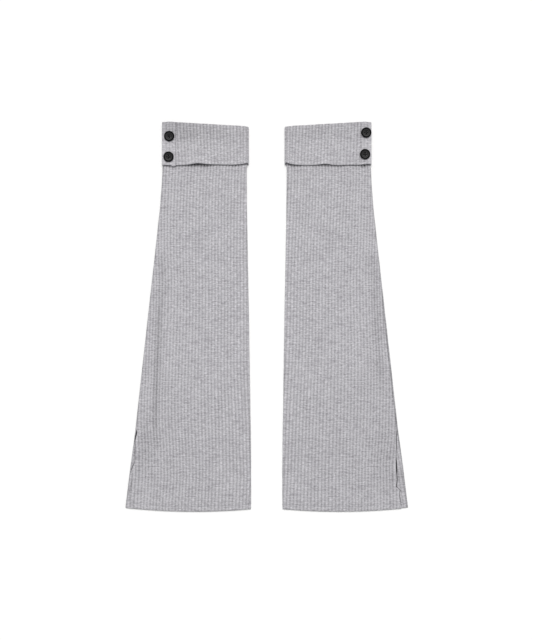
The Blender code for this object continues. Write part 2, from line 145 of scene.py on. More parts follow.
def in_millimetres(group):
    """The lengths of a property group as plain numbers, in millimetres."""
    return SimpleNamespace(**{name: getattr(group, name) / MM for name in group.__annotations__})


# ---------------------------------------------------------------- small mathematics
def lerp(low, high, share):
    return low + (high - low) * share


def smooth(low, high, value):
    """0 at low and before it, 1 at high and past it, and an S-curve between them."""
    share = min(max((value - low) / (high - low), 0.0), 1.0)
    return share * share * (3.0 - 2.0 * share)


def bump(distance, half_width):
    """1 at a distance of 0, falling off smoothly on both sides."""
    return math.exp(-((distance / half_width) ** 2))


def rim(distance, radius):
    """The share of a wall's thickness that is left at this distance inside its rounded edge."""
    share = min(max(distance / radius, 0.0), 1.0)
    return math.sqrt(1.0 - (1.0 - share) ** 2)


def interpolate(rows, down, curved=()):
    """The row of a table with a down column for this distance down. Columns named in curved join smoothly."""
    if down <= rows[0].down:
        return rows[0]
    for above, below in zip(rows, rows[1:]):
        if down <= below.down:
            share = (down - above.down) / (below.down - above.down)
            soft = smooth(0.0, 1.0, share)
            names = zip(above._fields, above, below)
            return type(above)(*(lerp(a, b, soft if name in curved else share) for name, a, b in names))
    return rows[-1]


def spread(start, end, step):
    """Places from start to end, both included, about step apart."""
    count = max(round(abs(end - start) / step), 1)
    return [lerp(start, end, i / count) for i in range(count + 1)]


def total(shapes, out):
    """The sum of a table of shapes at this place out."""
    return sum(shape.amount * bump(out - shape.out, shape.half_width) for shape in shapes)


def place(side, point, length):
    """A point given as (out, down, height), in the scene and its metres."""
    return Vector((SIGNS[side] * point[0], length / 2 - point[1], point[2])) * MM


# ---------------------------------------------------------------- the cloth's own tables
# Sections across a leg. inner and outer are the sides of the flat leg, under is how high its back lies (the
# cuff's back is below it at the top), air is the clear height between back and front, and rib is the share of
# the ribs' rise.
Section = namedtuple("Section", "down inner outer under air rib")
SECTIONS = (
    Section(8.3, 24.7, 130.6, 1.55, 0.35, 0.0),
    Section(47.0, 25.6, 131.2, 1.55, 0.35, 0.5),
    Section(56.6, 25.8, 131.6, 1.55, 0.45, 0.9),
    Section(59.5, 26.1, 133.4, 1.4, 0.6, 1.0),
    Section(80.0, 25.9, 134.5, 0.0, 1.7, 1.0),
    Section(111.0, 25.4, 136.9, 0.0, 1.9, 1.0),
    Section(173.0, 24.6, 143.7, 0.0, 2.0, 1.0),
    Section(249.0, 23.1, 152.2, 0.0, 1.9, 1.0),
    Section(326.0, 21.9, 160.8, 0.0, 1.8, 1.0),
    Section(395.0, 20.8, 168.4, 0.0, 1.8, 1.0),
    Section(445.0, 20.3, 175.1, 0.0, 1.5, 1.0),
    Section(491.0, 20.3, 180.1, 0.0, 1.2, 1.0),
    Section(500.0, 20.3, 181.1, 0.0, 0.7, 0.8),
)
BELOW_CUFF = (60.0, 90.0)  # down: where the leg comes out from under the cuff, and where it lies free of it
SLIT_TOP = 392.0  # down: where the outer seam ends and the slit begins

# The front's outer edge against the back's. Above the slit it lies just inside the seam, and in the slit it
# stands back from the back's edge and lifts off it.
EdgeRow = namedtuple("EdgeRow", "down setback lift")
FRONT_EDGES = {
    "left": (
        EdgeRow(61.0, 0.1, 0.0),
        EdgeRow(390.0, 0.3, 0.0),
        EdgeRow(394.0, 0.9, 0.2),
        EdgeRow(397.0, 2.5, 1.0),
        EdgeRow(400.0, 2.9, 1.2),
        EdgeRow(404.0, 2.1, 1.2),
        EdgeRow(411.0, 1.9, 1.2),
        EdgeRow(418.0, 3.0, 1.2),
        EdgeRow(436.0, 5.2, 1.0),
        EdgeRow(447.0, 2.2, 0.7),
        EdgeRow(456.0, 0.9, 0.4),
        EdgeRow(500.0, 0.4, 0.2),
    ),
    "right": (
        EdgeRow(61.0, 0.3, 0.0),
        EdgeRow(200.0, 1.2, 0.0),
        EdgeRow(260.0, 1.8, 0.0),
        EdgeRow(390.0, 1.6, 0.0),
        EdgeRow(395.0, 1.6, 0.4),
        EdgeRow(399.0, 2.5, 0.8),
        EdgeRow(407.0, 4.2, 1.2),
        EdgeRow(418.0, 5.6, 1.3),
        EdgeRow(434.0, 8.1, 1.5),
        EdgeRow(450.0, 9.6, 1.2),
        EdgeRow(458.0, 9.8, 1.0),
        EdgeRow(462.0, 10.0, 0.9),
        EdgeRow(466.0, 11.2, 0.9),
        EdgeRow(470.5, 12.2, 0.8),
        EdgeRow(475.0, 7.8, 0.6),
        EdgeRow(483.0, 9.4, 0.6),
        EdgeRow(491.0, 8.9, 0.5),
        EdgeRow(500.0, 8.2, 0.3),
    ),
}
# The ribs wander as the leg lies: how far out they are of lines parallel to the inner fold, at places
# SHIFT_STEP apart from SHIFT_START out. Where they run off at the fold, they go on round it to the back.
RibShift = namedtuple("RibShift", "down first second third fourth fifth")
SHIFT_START, SHIFT_STEP = 40.0, 30.0
RIB_SHIFTS = {
    "left": (
        RibShift(62.0, 0.5, 0.3, 0.1, -0.3, -1.0),
        RibShift(116.0, 2.5, 2.1, 2.5, 2.0, 0.0),
        RibShift(170.0, 3.4, 2.9, 2.5, 1.6, -0.5),
        RibShift(206.0, 3.7, 2.7, 2.0, 0.6, -2.8),
        RibShift(242.0, 4.4, 3.2, 2.2, 1.3, -2.8),
        RibShift(313.0, 5.3, 4.7, 4.1, 3.6, -0.5),
        RibShift(331.0, 5.0, 4.9, 4.8, 4.3, -0.6),
        RibShift(349.0, 4.6, 5.0, 5.3, 4.8, 0.8),
        RibShift(385.0, 3.6, 4.7, 5.1, 4.4, 1.5),
        RibShift(421.0, 3.5, 3.8, 3.9, 1.9, -1.1),
        RibShift(457.0, 2.7, 3.8, 3.1, 0.5, -1.6),
        RibShift(498.0, 4.6, 5.6, 4.4, 3.0, 0.2),
    ),
    "right": (
        RibShift(62.0, 0.2, -0.7, -0.8, -3.0, -5.0),
        RibShift(116.0, -1.3, -2.0, -2.8, -4.6, -7.0),
        RibShift(152.0, -2.4, -3.7, -4.2, -5.4, -9.0),
        RibShift(170.0, -2.9, -4.1, -4.9, -6.0, -11.0),
        RibShift(206.0, -3.1, -4.4, -5.6, -6.6, -12.5),
        RibShift(242.0, -3.0, -4.3, -4.9, -6.2, -12.0),
        RibShift(277.0, -3.4, -4.2, -4.2, -5.2, -10.0),
        RibShift(313.0, -4.4, -4.8, -4.0, -4.5, -7.0),
        RibShift(349.0, -5.6, -5.9, -4.9, -4.8, -6.6),
        RibShift(403.0, -7.0, -6.7, -6.1, -6.3, -8.2),
        RibShift(439.0, -8.1, -7.5, -6.7, -8.5, -12.2),
        RibShift(498.0, -10.0, -8.5, -7.3, -10.4, -12.2),
    ),
}
# And on the front of the cuff, near its inner and its outer side at the fold, and the same at its lower edge.
CuffShift = namedtuple("CuffShift", "top_inner top_outer low_inner low_outer")
CUFF_SHIFTS = {
    "left": CuffShift(-0.4, 3.3, -0.7, -0.1),
    "right": CuffShift(-0.6, 0.2, -2.9, -2.0),
}

# Where the slit is open, the back's edge stands up beside the front's, with a narrow gap between them: its
# width, how far the back rises past it, and how dark its painted shadow is.
Gap = namedtuple("Gap", "down width rise tuck")
GAPS = {
    "left": (
        Gap(391.0, 0.4, 0.0, 0.3),
        Gap(395.0, 0.9, 1.0, 3.0),
        Gap(397.0, 1.9, 2.6, 8.0),
        Gap(400.5, 2.2, 2.6, 9.0),
        Gap(404.0, 1.7, 2.6, 9.0),
        Gap(411.0, 1.3, 1.8, 4.5),
        Gap(418.0, 0.8, 1.2, 2.0),
        Gap(434.0, 0.6, 1.0, 0.6),
        Gap(438.0, 0.9, 1.6, 1.6),
        Gap(446.0, 1.0, 1.8, 2.2),
        Gap(452.0, 0.6, 0.6, 1.2),
        Gap(462.0, 0.5, 0.4, 2.0),
        Gap(488.0, 0.5, 0.4, 1.5),
        Gap(500.0, 0.6, 0.4, 3.0),
    ),
    "right": (
        Gap(391.0, 0.4, 0.0, 1.0),
        Gap(396.0, 1.0, 1.4, 4.5),
        Gap(401.0, 1.2, 1.8, 5.5),
        Gap(404.0, 1.0, 2.0, 3.5),
        Gap(408.0, 1.0, 2.2, 5.0),
        Gap(412.0, 1.0, 2.0, 4.5),
        Gap(418.0, 0.7, 1.2, 1.8),
        Gap(424.0, 0.6, 1.0, 0.8),
        Gap(431.0, 0.8, 1.6, 1.4),
        Gap(435.0, 1.3, 3.0, 8.0),
        Gap(449.0, 1.3, 3.0, 8.0),
        Gap(453.5, 0.9, 2.4, 2.0),
        Gap(459.0, 1.3, 2.2, 3.2),
        Gap(470.0, 1.1, 2.0, 3.0),
        Gap(473.0, 0.8, 1.4, 0.6),
        Gap(476.0, 1.0, 1.4, 1.8),
        Gap(479.0, 0.8, 1.2, 0.8),
        Gap(483.0, 1.0, 1.4, 2.0),
        Gap(492.0, 1.0, 1.2, 2.0),
        Gap(496.0, 0.8, 0.8, 0.5),
        Gap(500.0, 0.6, 0.6, 0.6),
    ),
}
# Painted shade at the very edge, all down the slit, and how far in from it that fades out.
EdgePaintedShade = namedtuple("EdgePaintedShade", "tuck reach")
EDGE_PAINTED_SHADES = {"left": EdgePaintedShade(0.9, 2.0), "right": EdgePaintedShade(1.4, 3.2)}
# And the painted shade on the back all over where it shows in the slit, and how much more around a place down
# it.
STRIP_PAINTED_SHADE = 0.4
StripShade = namedtuple("StripShade", "down half_length tuck")
STRIP_SHADES = {"left": StripShade(430.0, 8.0, 0.0), "right": StripShade(456.0, 10.0, 0.9)}
# The front has painted shadow to GAP_SIDE in from the gap. Past it the cloth rolls over and has a painted
# highlight, by the first of these numbers for a gap of tuck 1, in a line ROLL_IN from the edge, half of it
# ROLL_HALF wide.
GAP_SIDE = 0.5
ROLL_PAINTED_HIGHLIGHT, ROLL_IN, ROLL_HALF = 0.24, 1.5, 0.8
# Painted shade on the cloth just before it turns over at the inner fold: a line FOLD_LINE_IN from it, half of
# it
# FOLD_LINE_HALF wide.
FoldLine = namedtuple("FoldLine", "down tuck")
FOLD_LINE_IN, FOLD_LINE_HALF = 1.6, 1.1
FOLD_LINES = {
    "left": (FoldLine(61.0, 0.1), FoldLine(350.0, 0.2), FoldLine(400.0, 1.2), FoldLine(500.0, 1.2)),
    "right": (FoldLine(61.0, 0.5), FoldLine(430.0, 0.6), FoldLine(470.0, 0.0)),
}
# The painted shade in the groove along the outer seam.
Seam = namedtuple("Seam", "down tuck")
SEAMS = {
    "left": (Seam(61.0, 0.7), Seam(390.0, 1.2)),
    "right": (Seam(61.0, 0.0), Seam(190.0, 0.2), Seam(245.0, 2.3), Seam(392.0, 2.3)),
}

# Soft troughs, and ridges where depth is below 0, down the front of a leg. Each runs through three places
# given as (down, out), and tuck is the painted shade along it. Those without depth are thin lines of painted
# shade only.
Crease = namedtuple("Crease", "top middle low half_width depth tuck")
CREASE_FADE = 45.0  # how far a crease takes to begin and to end
SHORT_CREASE = 2.5  # but a short one fades over its length divided by this
CREASE_WANDER, CREASE_WANDER_DOWN = 1.2, 30.0  # how far it wanders sideways, and how long each wander is
CREASE_UNEVEN, CREASE_UNEVEN_DOWN = 0.3, 24.0  # and the same for how strong it is, as a share
CREASES = {
    "left": (
        Crease((158.0, 131.0), (304.0, 140.6), (415.0, 143.5), 5.0, 1.3, 0.7),
        Crease((215.0, 133.8), (304.0, 140.0), (432.0, 142.6), 1.5, 0.0, 1.1),
        Crease((215.0, 136.6), (304.0, 142.8), (432.0, 145.4), 1.3, 0.0, 0.9),
        Crease((215.0, 58.0), (330.0, 55.0), (455.0, 56.5), 9.0, 0.5, 0.1),
        Crease((95.0, 96.0), (200.0, 101.0), (330.0, 107.0), 10.0, -0.4, 0.0),
        Crease((330.0, 118.0), (410.0, 121.0), (490.0, 127.0), 8.0, 0.4, 0.1),
        Crease((70.0, 44.0), (130.0, 47.0), (205.0, 46.0), 7.0, 0.3, 0.1),
        Crease((360.0, 84.0), (430.0, 80.0), (498.0, 82.0), 9.0, -0.4, 0.0),
        Crease((390.0, 158.0), (438.0, 161.0), (490.0, 168.0), 7.0, 0.5, 0.3),
        Crease((446.0, 171.6), (470.0, 174.6), (498.0, 177.6), 2.2, 0.1, 0.8),
        Crease((460.0, 172.4), (468.5, 173.4), (475.0, 174.6), 1.0, 0.3, 3.4),
        Crease((469.0, 174.8), (475.5, 175.7), (486.0, 176.8), 1.0, 0.2, 3.0),
        Crease((482.0, 174.8), (487.0, 175.4), (493.0, 176.0), 1.0, 0.2, 2.4),
    ),
    "right": (
        Crease((150.0, 134.0), (275.0, 142.2), (372.0, 146.8), 6.0, 1.2, 0.85),
        Crease((120.0, 62.0), (230.0, 58.0), (350.0, 60.0), 9.0, 0.4, 0.1),
        Crease((290.0, 92.0), (390.0, 96.0), (485.0, 95.0), 10.0, -0.4, 0.0),
        Crease((400.0, 140.0), (450.0, 145.0), (498.0, 152.0), 7.0, 0.5, 0.3),
        Crease((85.0, 110.0), (150.0, 106.0), (240.0, 109.0), 8.0, 0.3, 0.1),
        Crease((340.0, 40.0), (420.0, 43.0), (495.0, 41.0), 9.0, 0.4, 0.1),
        Crease((444.0, 160.2), (460.0, 159.8), (478.0, 159.6), 1.2, 0.2, 1.7),
    ),
}

# Broad patches of painted shade.
ShadePatch = namedtuple("ShadePatch", "out down half_width half_length tuck")
SHADE_PATCHES = {
    "left": (
        ShadePatch(158.0, 416.0, 18.0, 38.0, 0.6),
        ShadePatch(95.0, 450.0, 100.0, 120.0, 0.47),
        ShadePatch(137.0, 204.0, 9.0, 28.0, 0.35),
    ),
    "right": (
        ShadePatch(166.0, 425.0, 20.0, 46.0, 0.75),
        ShadePatch(95.0, 450.0, 100.0, 120.0, 0.56),
        ShadePatch(130.0, 348.0, 45.0, 30.0, 0.22),
    ),
}

# The cuff's turned-down layer. down is here a share of the way from the fold to the edge. rise is how far the
# layer bows up off the leg there, and rib the share of the ribs' rise that shows.
CuffRow = namedtuple("CuffRow", "down rise rib")
CUFF_ROWS = (
    CuffRow(0.0, 0.0, 0.65),
    CuffRow(0.06, 0.2, 0.75),
    CuffRow(0.22, 0.8, 0.82),
    CuffRow(0.5, 1.0, 0.82),
    CuffRow(0.87, 1.2, 0.82),
    CuffRow(1.0, 1.4, 0.65),
)
FOLD_SLOPE = 0.0575  # the top fold drops by this share of the way towards the inner side
Shape = namedtuple("Shape", "out half_width amount")
CUFF_WAVES = {  # where the cuff's lower edge pulls up, or sags where amount is below 0
    "left": (
        Shape(25.0, 2.0, 0.8),
        Shape(22.0, 13.0, 1.75),
        Shape(70.0, 14.0, 0.45),
        Shape(88.0, 10.0, 1.7),
        Shape(115.0, 14.0, -0.7),
    ),
    "right": (
        Shape(25.0, 2.0, 1.0),
        Shape(22.0, 10.0, 2.3),
        Shape(53.0, 11.0, -0.45),
        Shape(75.0, 8.0, 1.15),
        Shape(92.0, 10.0, -0.75),
        Shape(134.0, 10.0, 1.0),
    ),
}
EDGE_SHADE = 0.9  # painted shadow: how dark the leg is made just below the cuff's lower edge
EDGE_SHADES = {  # and how much more painted shadow where the edge curls away from it
    "left": (
        Shape(42.0, 12.0, 2.0),
        Shape(76.0, 8.0, 2.6),
        Shape(90.0, 11.0, 4.4),
        Shape(130.0, 6.0, 1.0),
    ),
    "right": (
        Shape(31.0, 14.0, 3.4),
        Shape(53.0, 6.0, -0.9),
        Shape(75.0, 7.0, 2.4),
        Shape(91.0, 9.0, 1.9),
        Shape(103.0, 6.0, -0.7),
        Shape(125.0, 6.0, 4.8),
    ),
}
CUFF_LIFTS = {  # where it stands further off the leg
    "left": (Shape(87.0, 14.0, 3.2), Shape(30.0, 14.0, 0.8), Shape(108.0, 10.0, 0.3)),
    "right": (Shape(26.0, 12.0, 1.8), Shape(74.0, 11.0, 1.9), Shape(112.0, 8.0, 0.4)),
}
# Painted shade near the top fold, where the cuff's top slopes away from the light: most around a place out,
# by tuck, everywhere by all_over, and down to a distance below the fold.
FoldPaintedShade = namedtuple("FoldPaintedShade", "out half_width down tuck all_over")
FOLD_PAINTED_SHADES = {
    "left": FoldPaintedShade(114.0, 40.0, 31.0, 1.0, 0.8),
    "right": FoldPaintedShade(70.0, 50.0, 27.0, 0.3, 0.6),
}

# The placket's inner edge, and its lower end: it drops below the cuff's edge by drop around drop_out.
Placket = namedtuple("Placket", "inner drop_out half_width drop")
PLACKETS = {
    "left": Placket(116.2, 119.2, 2.5, 1.3),
    "right": Placket(120.6, 125.5, 4.5, -0.5),
}
LEVELS = ("upper", "lower")

# ---------------------------------------------------------------- a wall of cloth
# A spot on the cloth: middle of the wall, the direction out of it, how far the outer and inner skins lie from
# that middle, the place in ribs across and in millimetres along, and its tuck, the painted shade that darkens
# its colour.
Spot = namedtuple("Spot", "middle facing outer inner rib along tuck")

RIB_COLUMNS = (0.0, 0.12, 0.27, 0.5, 0.73, 0.88)  # shares of a rib, closest in its valley
BACK_COLUMNS = (0.0, 0.2, 0.5, 0.8)
SPARE_RIBS = 3  # so many more ribs than the hem is wide can run off at the inner fold
RIB_SHOULDER = 0.32  # share of a rib's width that its rounded side takes
RIM_STEPS = (0.0, 0.08, 0.3, 0.8)  # distances inside a cut edge, closest where it rounds over
FOLD_ANGLES = (0.0, 20.0, 40.0, 60.0, 80.0, 100.0, 125.0, 150.0, 180.0)  # round the cuff's top fold
SIDE_BENDS = 8  # steps round a side of the leg or the cuff
PLACKET_BEND = (80.0, 70.0, 60.0, 52.0, 48.0, 46.0, 45.0)  # angles round the outer side, closest at the edge
WELD = 0.02  # points closer than this are one


def rib_crest(number):
    """Height of a rib's rounded profile at a place counted in ribs: 0 in a valley, 1 along the rib's top."""
    share = number % 1.0
    return math.sin(min(min(share, 1.0 - share) / RIB_SHOULDER, 1.0) * math.pi / 2)


def unevenness(across, down, seed, across_size, down_size):
    """Smooth hand-made unevenness between -1 and 1, with its own size across and down."""
    return noise.noise(Vector((across / across_size, down / down_size, seed)))


def cloth_mesh(name, form, rows, columns, spot_at):
    """A closed wall of cloth. Each of its skins is a grid of rows by columns, moved to lie on its own side of
    the wall's middle, and they are welded where the wall rounds off to nothing along its edges."""
    mesh = bmesh.new()
    knit_map = mesh.loops.layers.uv.new(KNIT_MAP)
    tucked = mesh.verts.layers.float.new(PAINTED_SHADE)
    spots = [[spot_at(row, column) for column in columns] for row in rows]
    across, along = len(columns) - 1, len(rows) - 1
    for outer in (True, False):
        grid = bmesh.ops.create_grid(mesh, x_segments=across, y_segments=along, size=0.5)
        for corner in grid["verts"]:
            column = round((corner.co.x + 0.5) * across)
            row = round((corner.co.y + 0.5) * along)
            spot = spots[row][column]
            # each corner keeps its spot's painted shade, by which the material darkens the colour
            corner[tucked] = spot.tuck
            reach = spot.outer if outer else -spot.inner
            corner.co = place(form.side, spot.middle + spot.facing * reach, form.sizes.length)
            for loop in corner.link_loops:
                loop[knit_map].uv = (spot.rib, spot.along)
    bmesh.ops.remove_doubles(mesh, verts=mesh.verts, dist=WELD * MM)
    bmesh.ops.dissolve_degenerate(mesh, edges=mesh.edges, dist=WELD * MM / 4)
    bmesh.ops.recalc_face_normals(mesh, faces=mesh.faces)
    return add_object(name, mesh)


def add_object(name, mesh):
    """An object at the origin that holds this bmesh, rounded smooth."""
    data = bpy.data.meshes.new(name)
    mesh.to_mesh(data)
    mesh.free()
    data.shade_smooth()
    made = bpy.data.objects.new(name, data)
    bpy.context.scene.collection.objects.link(made)
    return made


def cuff_edge(side, sizes, out, facing):
    """How far down the cuff's lower edge is. facing is 1 on the front and -1 on the back."""
    return sizes.cuff_depth - total(CUFF_WAVES[side], out) * (1.0 + facing) / 2


class ClothForm:
    """What the leg and the cuff of one side have in common: the folded hem, and ribs that rise unevenly."""

    HEM_STEP = 0.8  # half the height of the step where the folded hem ends
    HEM_RISE = 0.12  # how much thicker it is
    GROOVE_HALF = 0.7  # half the height of the groove that its stitches pull
    RIB_UNEVEN, RIB_UNEVEN_ACROSS = 0.2, 6.0  # share by which the ribs' rise differs, and over what distance

    def __init__(self, side, sizes):
        self.side = side
        self.sizes = sizes
        self.half = sizes.wall / 2
        self.seed = SIGNS[side] * self.SEED

    def hem(self, above_edge):
        """(share of the folded hem, depth of the groove that its stitches pull) at a distance above its
        edge."""
        above_stitches = above_edge - self.sizes.hem_band
        band = 1.0 - smooth(-self.HEM_STEP, self.HEM_STEP, above_stitches)
        return band, self.GROOVE * bump(above_stitches, self.GROOVE_HALF)

    def rib_share(self, out, down, band):
        """The share of the ribs' rise that shows at a place, of which the folded hem takes a part away."""
        seed = self.seed + self.RIB_SEED
        uneven = unevenness(out, down, seed, self.RIB_UNEVEN_ACROSS, self.RIB_UNEVEN_DOWN)
        return (1.0 - self.HEM_FLAT * band) * (1.0 + self.RIB_UNEVEN * uneven)


# ---------------------------------------------------------------- the leg's form
class LegForm(ClothForm):
    """Where the cloth of one leg lies. A column is (stretch, value): a rib number on the front or the back, a
    distance in from the cut edge of either, or an angle round the inner fold."""

    SEED, BOW_SEED, RIB_SEED, WANDER_SEED = 40.0, 3.1, 7.7, 12.3
    SIDE_AIR = 1.4  # clear height at the inner fold
    SIDE_REACH, EDGE_REACH = 30.0, 14.0  # how far in from fold and cut edge the full clear height begins
    # The front bows unevenly up and down: how far, the size of a bow, and how far in from its sides it may.
    BOW, BOW_ACROSS, BOW_DOWN, BOW_REACH = 0.35, 38.0, 60.0, 25.0
    # Each rib wanders a little besides: how far, over how many ribs together, and over how far down.
    WANDER, WANDER_RIBS, WANDER_DOWN = 0.5, 9.0, 70.0
    RIB_UNEVEN_DOWN = 25.0  # how far down a place of higher or lower ribs reaches

    HEM_SAG, HEM_LOWEST = 16.0, 0.45  # depth of the hem's bow over the full width, and where it is lowest
    HEM_REACH = 70.0  # how far above the hem the ribs follow its bow
    HEM_PRESS = 12.0  # how far above the hem the front begins to come down on the back
    HEM_DRAW = 0.5  # how far the hem's stitches draw it up
    HEM_FLAT = 0.35  # share of the ribs' rise that the folded hem loses
    GROOVE = 0.22  # depth of the groove that its stitches pull

    SEAM_CLEAR = 0.06  # front and back touch along the seam
    SEAM_GROOVE = (0.4, 1.8)  # how far from the seam its groove begins to rise, and where it ends
    SEAM_ENDS = (SLIT_TOP - 4.0, SLIT_TOP + 4.0)  # down: where the groove fades out
    SLIT_OPENS = (SLIT_TOP - 6.0, SLIT_TOP + 8.0)  # down: where the front's edge comes free of the back
    TURNED = (3.0, 4.2)  # how far in from the slit the step of its narrow turned edge is
    TURNED_RISE, TURNED_FLAT = 0.1, 0.55  # the same for that edge as for the hem
    GAP_RIM = 2.2  # how far in from its own edge the back's rise in the slit is full
    STRIP_START = 2.0  # how far inside the front's cut edge the back's strip of finer columns begins
    STRIP_FADE, EDGE_FADE = 30.0, 12.0  # how far below the slit's top the strip's and edge's painted shades fade in
    EDGE_DARKEST = 0.3  # how far in from the outer edge its painted shade is darkest
    EDGE_ROUND = 0.6  # how far in a side edge rounds over, as a share of the wall

    INSIDE_SHARE = 0.8  # share of the hollows pressed into the back that its inner skin follows
    BACK_PAINTED_SHADE = 0.3  # the back's painted shade
    PRESSED_ANGLE = 150.0  # how far round the inner fold, in degrees, the ribs are pressed flat
    FAN = (115.0, 165.0)  # out: where the back's ribs begin to be drawn outwards, and where they are most

    def section(self, down):
        return interpolate(SECTIONS, down, ("under", "air", "rib"))

    def edge(self, down):
        return interpolate(FRONT_EDGES[self.side], down, ("lift",))

    def gap(self, down):
        return interpolate(GAPS[self.side], down, ("rise",))

    def front_edge(self, section):
        """Out: where the front's cut edge is."""
        return section.outer - self.edge(section.down).setback

    def start(self, section):
        """Out: where the inner fold begins."""
        return section.inner + self.sizes.wall + min(section.air, self.SIDE_AIR) / 2

    def turn(self, section):
        """Length of cloth round the inner fold."""
        return math.pi * (self.start(section) - section.inner - self.half)

    def pitch(self, down):
        return lerp(self.sizes.pitch_top, self.sizes.pitch_hem, down / self.sizes.length)

    def lean(self, section, out):
        """How far down a point of this section lies. The top follows the cuff's fold, and the hem bows."""
        share = (out - section.inner) / (section.outer - section.inner)
        hem_lift = self.HEM_SAG * (share - self.HEM_LOWEST) ** 2 + self.HEM_DRAW
        near_top = 1.0 - smooth(SECTIONS[0].down, self.sizes.cuff_depth, section.down)
        near_hem = smooth(self.sizes.length - self.HEM_REACH, self.sizes.length, section.down)
        return section.down + near_top * FOLD_SLOPE * (self.sizes.cuff_outer - out) - near_hem * hem_lift

    def creases(self, out, down):
        """(depth of the creases here, the painted shade of the creases and of the broad patches)."""
        depth = 0.0
        tuck = 0.0
        for crease in CREASES[self.side]:
            (top, top_out), (middle, middle_out), (low, low_out) = crease.top, crease.middle, crease.low
            if not top < down < low:
                continue
            if down < middle:
                line = lerp(top_out, middle_out, (down - top) / (middle - top))
            else:
                line = lerp(middle_out, low_out, (down - middle) / (low - middle))
            line += CREASE_WANDER * unevenness(0.0, down, self.seed + top, 1.0, CREASE_WANDER_DOWN)
            strength = 1.0 + CREASE_UNEVEN * unevenness(0.0, down, self.seed - low, 1.0, CREASE_UNEVEN_DOWN)
            ends = min(CREASE_FADE, (low - top) / SHORT_CREASE)
            fade = smooth(0.0, ends, down - top) * smooth(0.0, ends, low - down)
            here = strength * fade * bump(out - line, crease.half_width)
            depth += crease.depth * here
            tuck += crease.tuck * here
        for shade_patch in SHADE_PATCHES[self.side]:
            across = bump(out - shade_patch.out, shade_patch.half_width)
            tuck += shade_patch.tuck * across * bump(down - shade_patch.down, shade_patch.half_length)
        return depth, tuck

    def end_rim(self, down):
        """The wall's rounding at its top and at the hem."""
        return rim(down - SECTIONS[0].down, self.half) * rim(self.sizes.length - down, self.half)

    def seam(self, section, out):
        """The painted shade in the groove along the outer seam."""
        sewn = 1.0 - smooth(*self.SEAM_ENDS, section.down)
        groove = 1.0 - smooth(*self.SEAM_GROOVE, abs(out - self.front_edge(section)))
        return interpolate(SEAMS[self.side], section.down).tuck * sewn * groove

    def painted_shadow_under_cuff(self, down, out):
        """The painted shadow on the front below the cuff's lower edge."""
        amount = EDGE_SHADE + total(EDGE_SHADES[self.side], out)
        below = down - cuff_edge(self.side, self.sizes, out, 1.0)
        return amount * (1.0 - smooth(0.0, 1.0 + amount, below))

    def beside_slit(self, down, inside):
        """The painted shadow on the front at a distance inside its cut edge, beside the slit's gap, less a
        painted highlight where it rolls over.
        """
        painted_highlight = ROLL_PAINTED_HIGHLIGHT * bump(inside - ROLL_IN, ROLL_HALF)
        return self.gap(down).tuck * (1.0 - smooth(0.0, GAP_SIDE, inside) - painted_highlight)

    def at_edge(self, section, out):
        """The painted shade at the leg's outer edge, beside the slit."""
        edge_painted_shade = EDGE_PAINTED_SHADES[self.side]
        return edge_painted_shade.tuck * (1.0 - smooth(self.EDGE_DARKEST, edge_painted_shade.reach, section.outer - out))

    def front(self, section, out, number, rounding):
        """A spot on the front."""
        sizes = self.sizes
        down = section.down
        edge, start = self.front_edge(section), self.start(section)
        depth, tuck = self.creases(out, down)
        in_slit = smooth(*self.SLIT_OPENS, down)
        at_side = min(section.air, self.SIDE_AIR)
        air = lerp(at_side, section.air, smooth(0.0, self.SIDE_REACH, out - start)) - depth
        free = smooth(0.0, self.BOW_REACH, out - start) * smooth(0.0, self.BOW_REACH, edge - out)
        free *= smooth(*BELOW_CUFF, down)
        seed = self.seed + self.BOW_SEED
        air += free * self.BOW * unevenness(out, down, seed, self.BOW_ACROSS, self.BOW_DOWN)
        air = max(air, sizes.seam_gap)
        air = lerp(air, sizes.seam_gap, smooth(self.HEM_PRESS, 1.0, sizes.length - down))
        at_edge = lerp(self.SEAM_CLEAR, sizes.seam_gap + self.edge(down).lift, in_slit)
        air = lerp(at_edge, air, smooth(0.0, self.EDGE_REACH, edge - out))
        band, groove = self.hem(sizes.length - down)
        turned = in_slit * (1.0 - smooth(*self.TURNED, edge - out))
        ribs = section.rib * self.rib_share(out, down, band) * (1.0 - self.TURNED_FLAT * turned)
        folded = self.HEM_RISE * band + self.TURNED_RISE * turned
        outer = self.half + sizes.rib_rise * ribs * rib_crest(number) + folded - groove
        height = section.under + 1.5 * sizes.wall + air
        # painted shade in the seam's groove, painted shadow below the cuff and beside the slit's gap
        tuck += self.seam(section, out) + self.painted_shadow_under_cuff(down, out) + self.beside_slit(down, edge - out)
        tuck += in_slit * self.at_edge(section, out)
        return Spot(
            Vector((out, self.lean(section, out), height)),
            Vector((0.0, 0.0, 1.0)),
            outer * rounding,
            self.half * rounding,
            number,
            down,
            tuck,
        )

    def back(self, section, out, number, rounding):
        """A spot on the back. Its ribs are pressed flat, so their valleys are hollowed into it from both
        sides."""
        crest = rib_crest(number)
        band, groove = self.hem(self.sizes.length - section.down)
        relief = self.sizes.back_relief * section.rib
        hollow = relief * (1.0 - crest) * (1.0 - self.HEM_FLAT * band) + groove
        gap = self.gap(section.down)
        past = out - self.front_edge(section)
        rise = gap.rise * smooth(0.1 * gap.width, gap.width, past)
        rise *= smooth(0.0, self.GAP_RIM, section.outer - out)
        # where the back has the painted shadow of the gap
        in_gap = smooth(-1.0, -0.2, past) * (1.0 - smooth(0.5 * gap.width, gap.width, past))
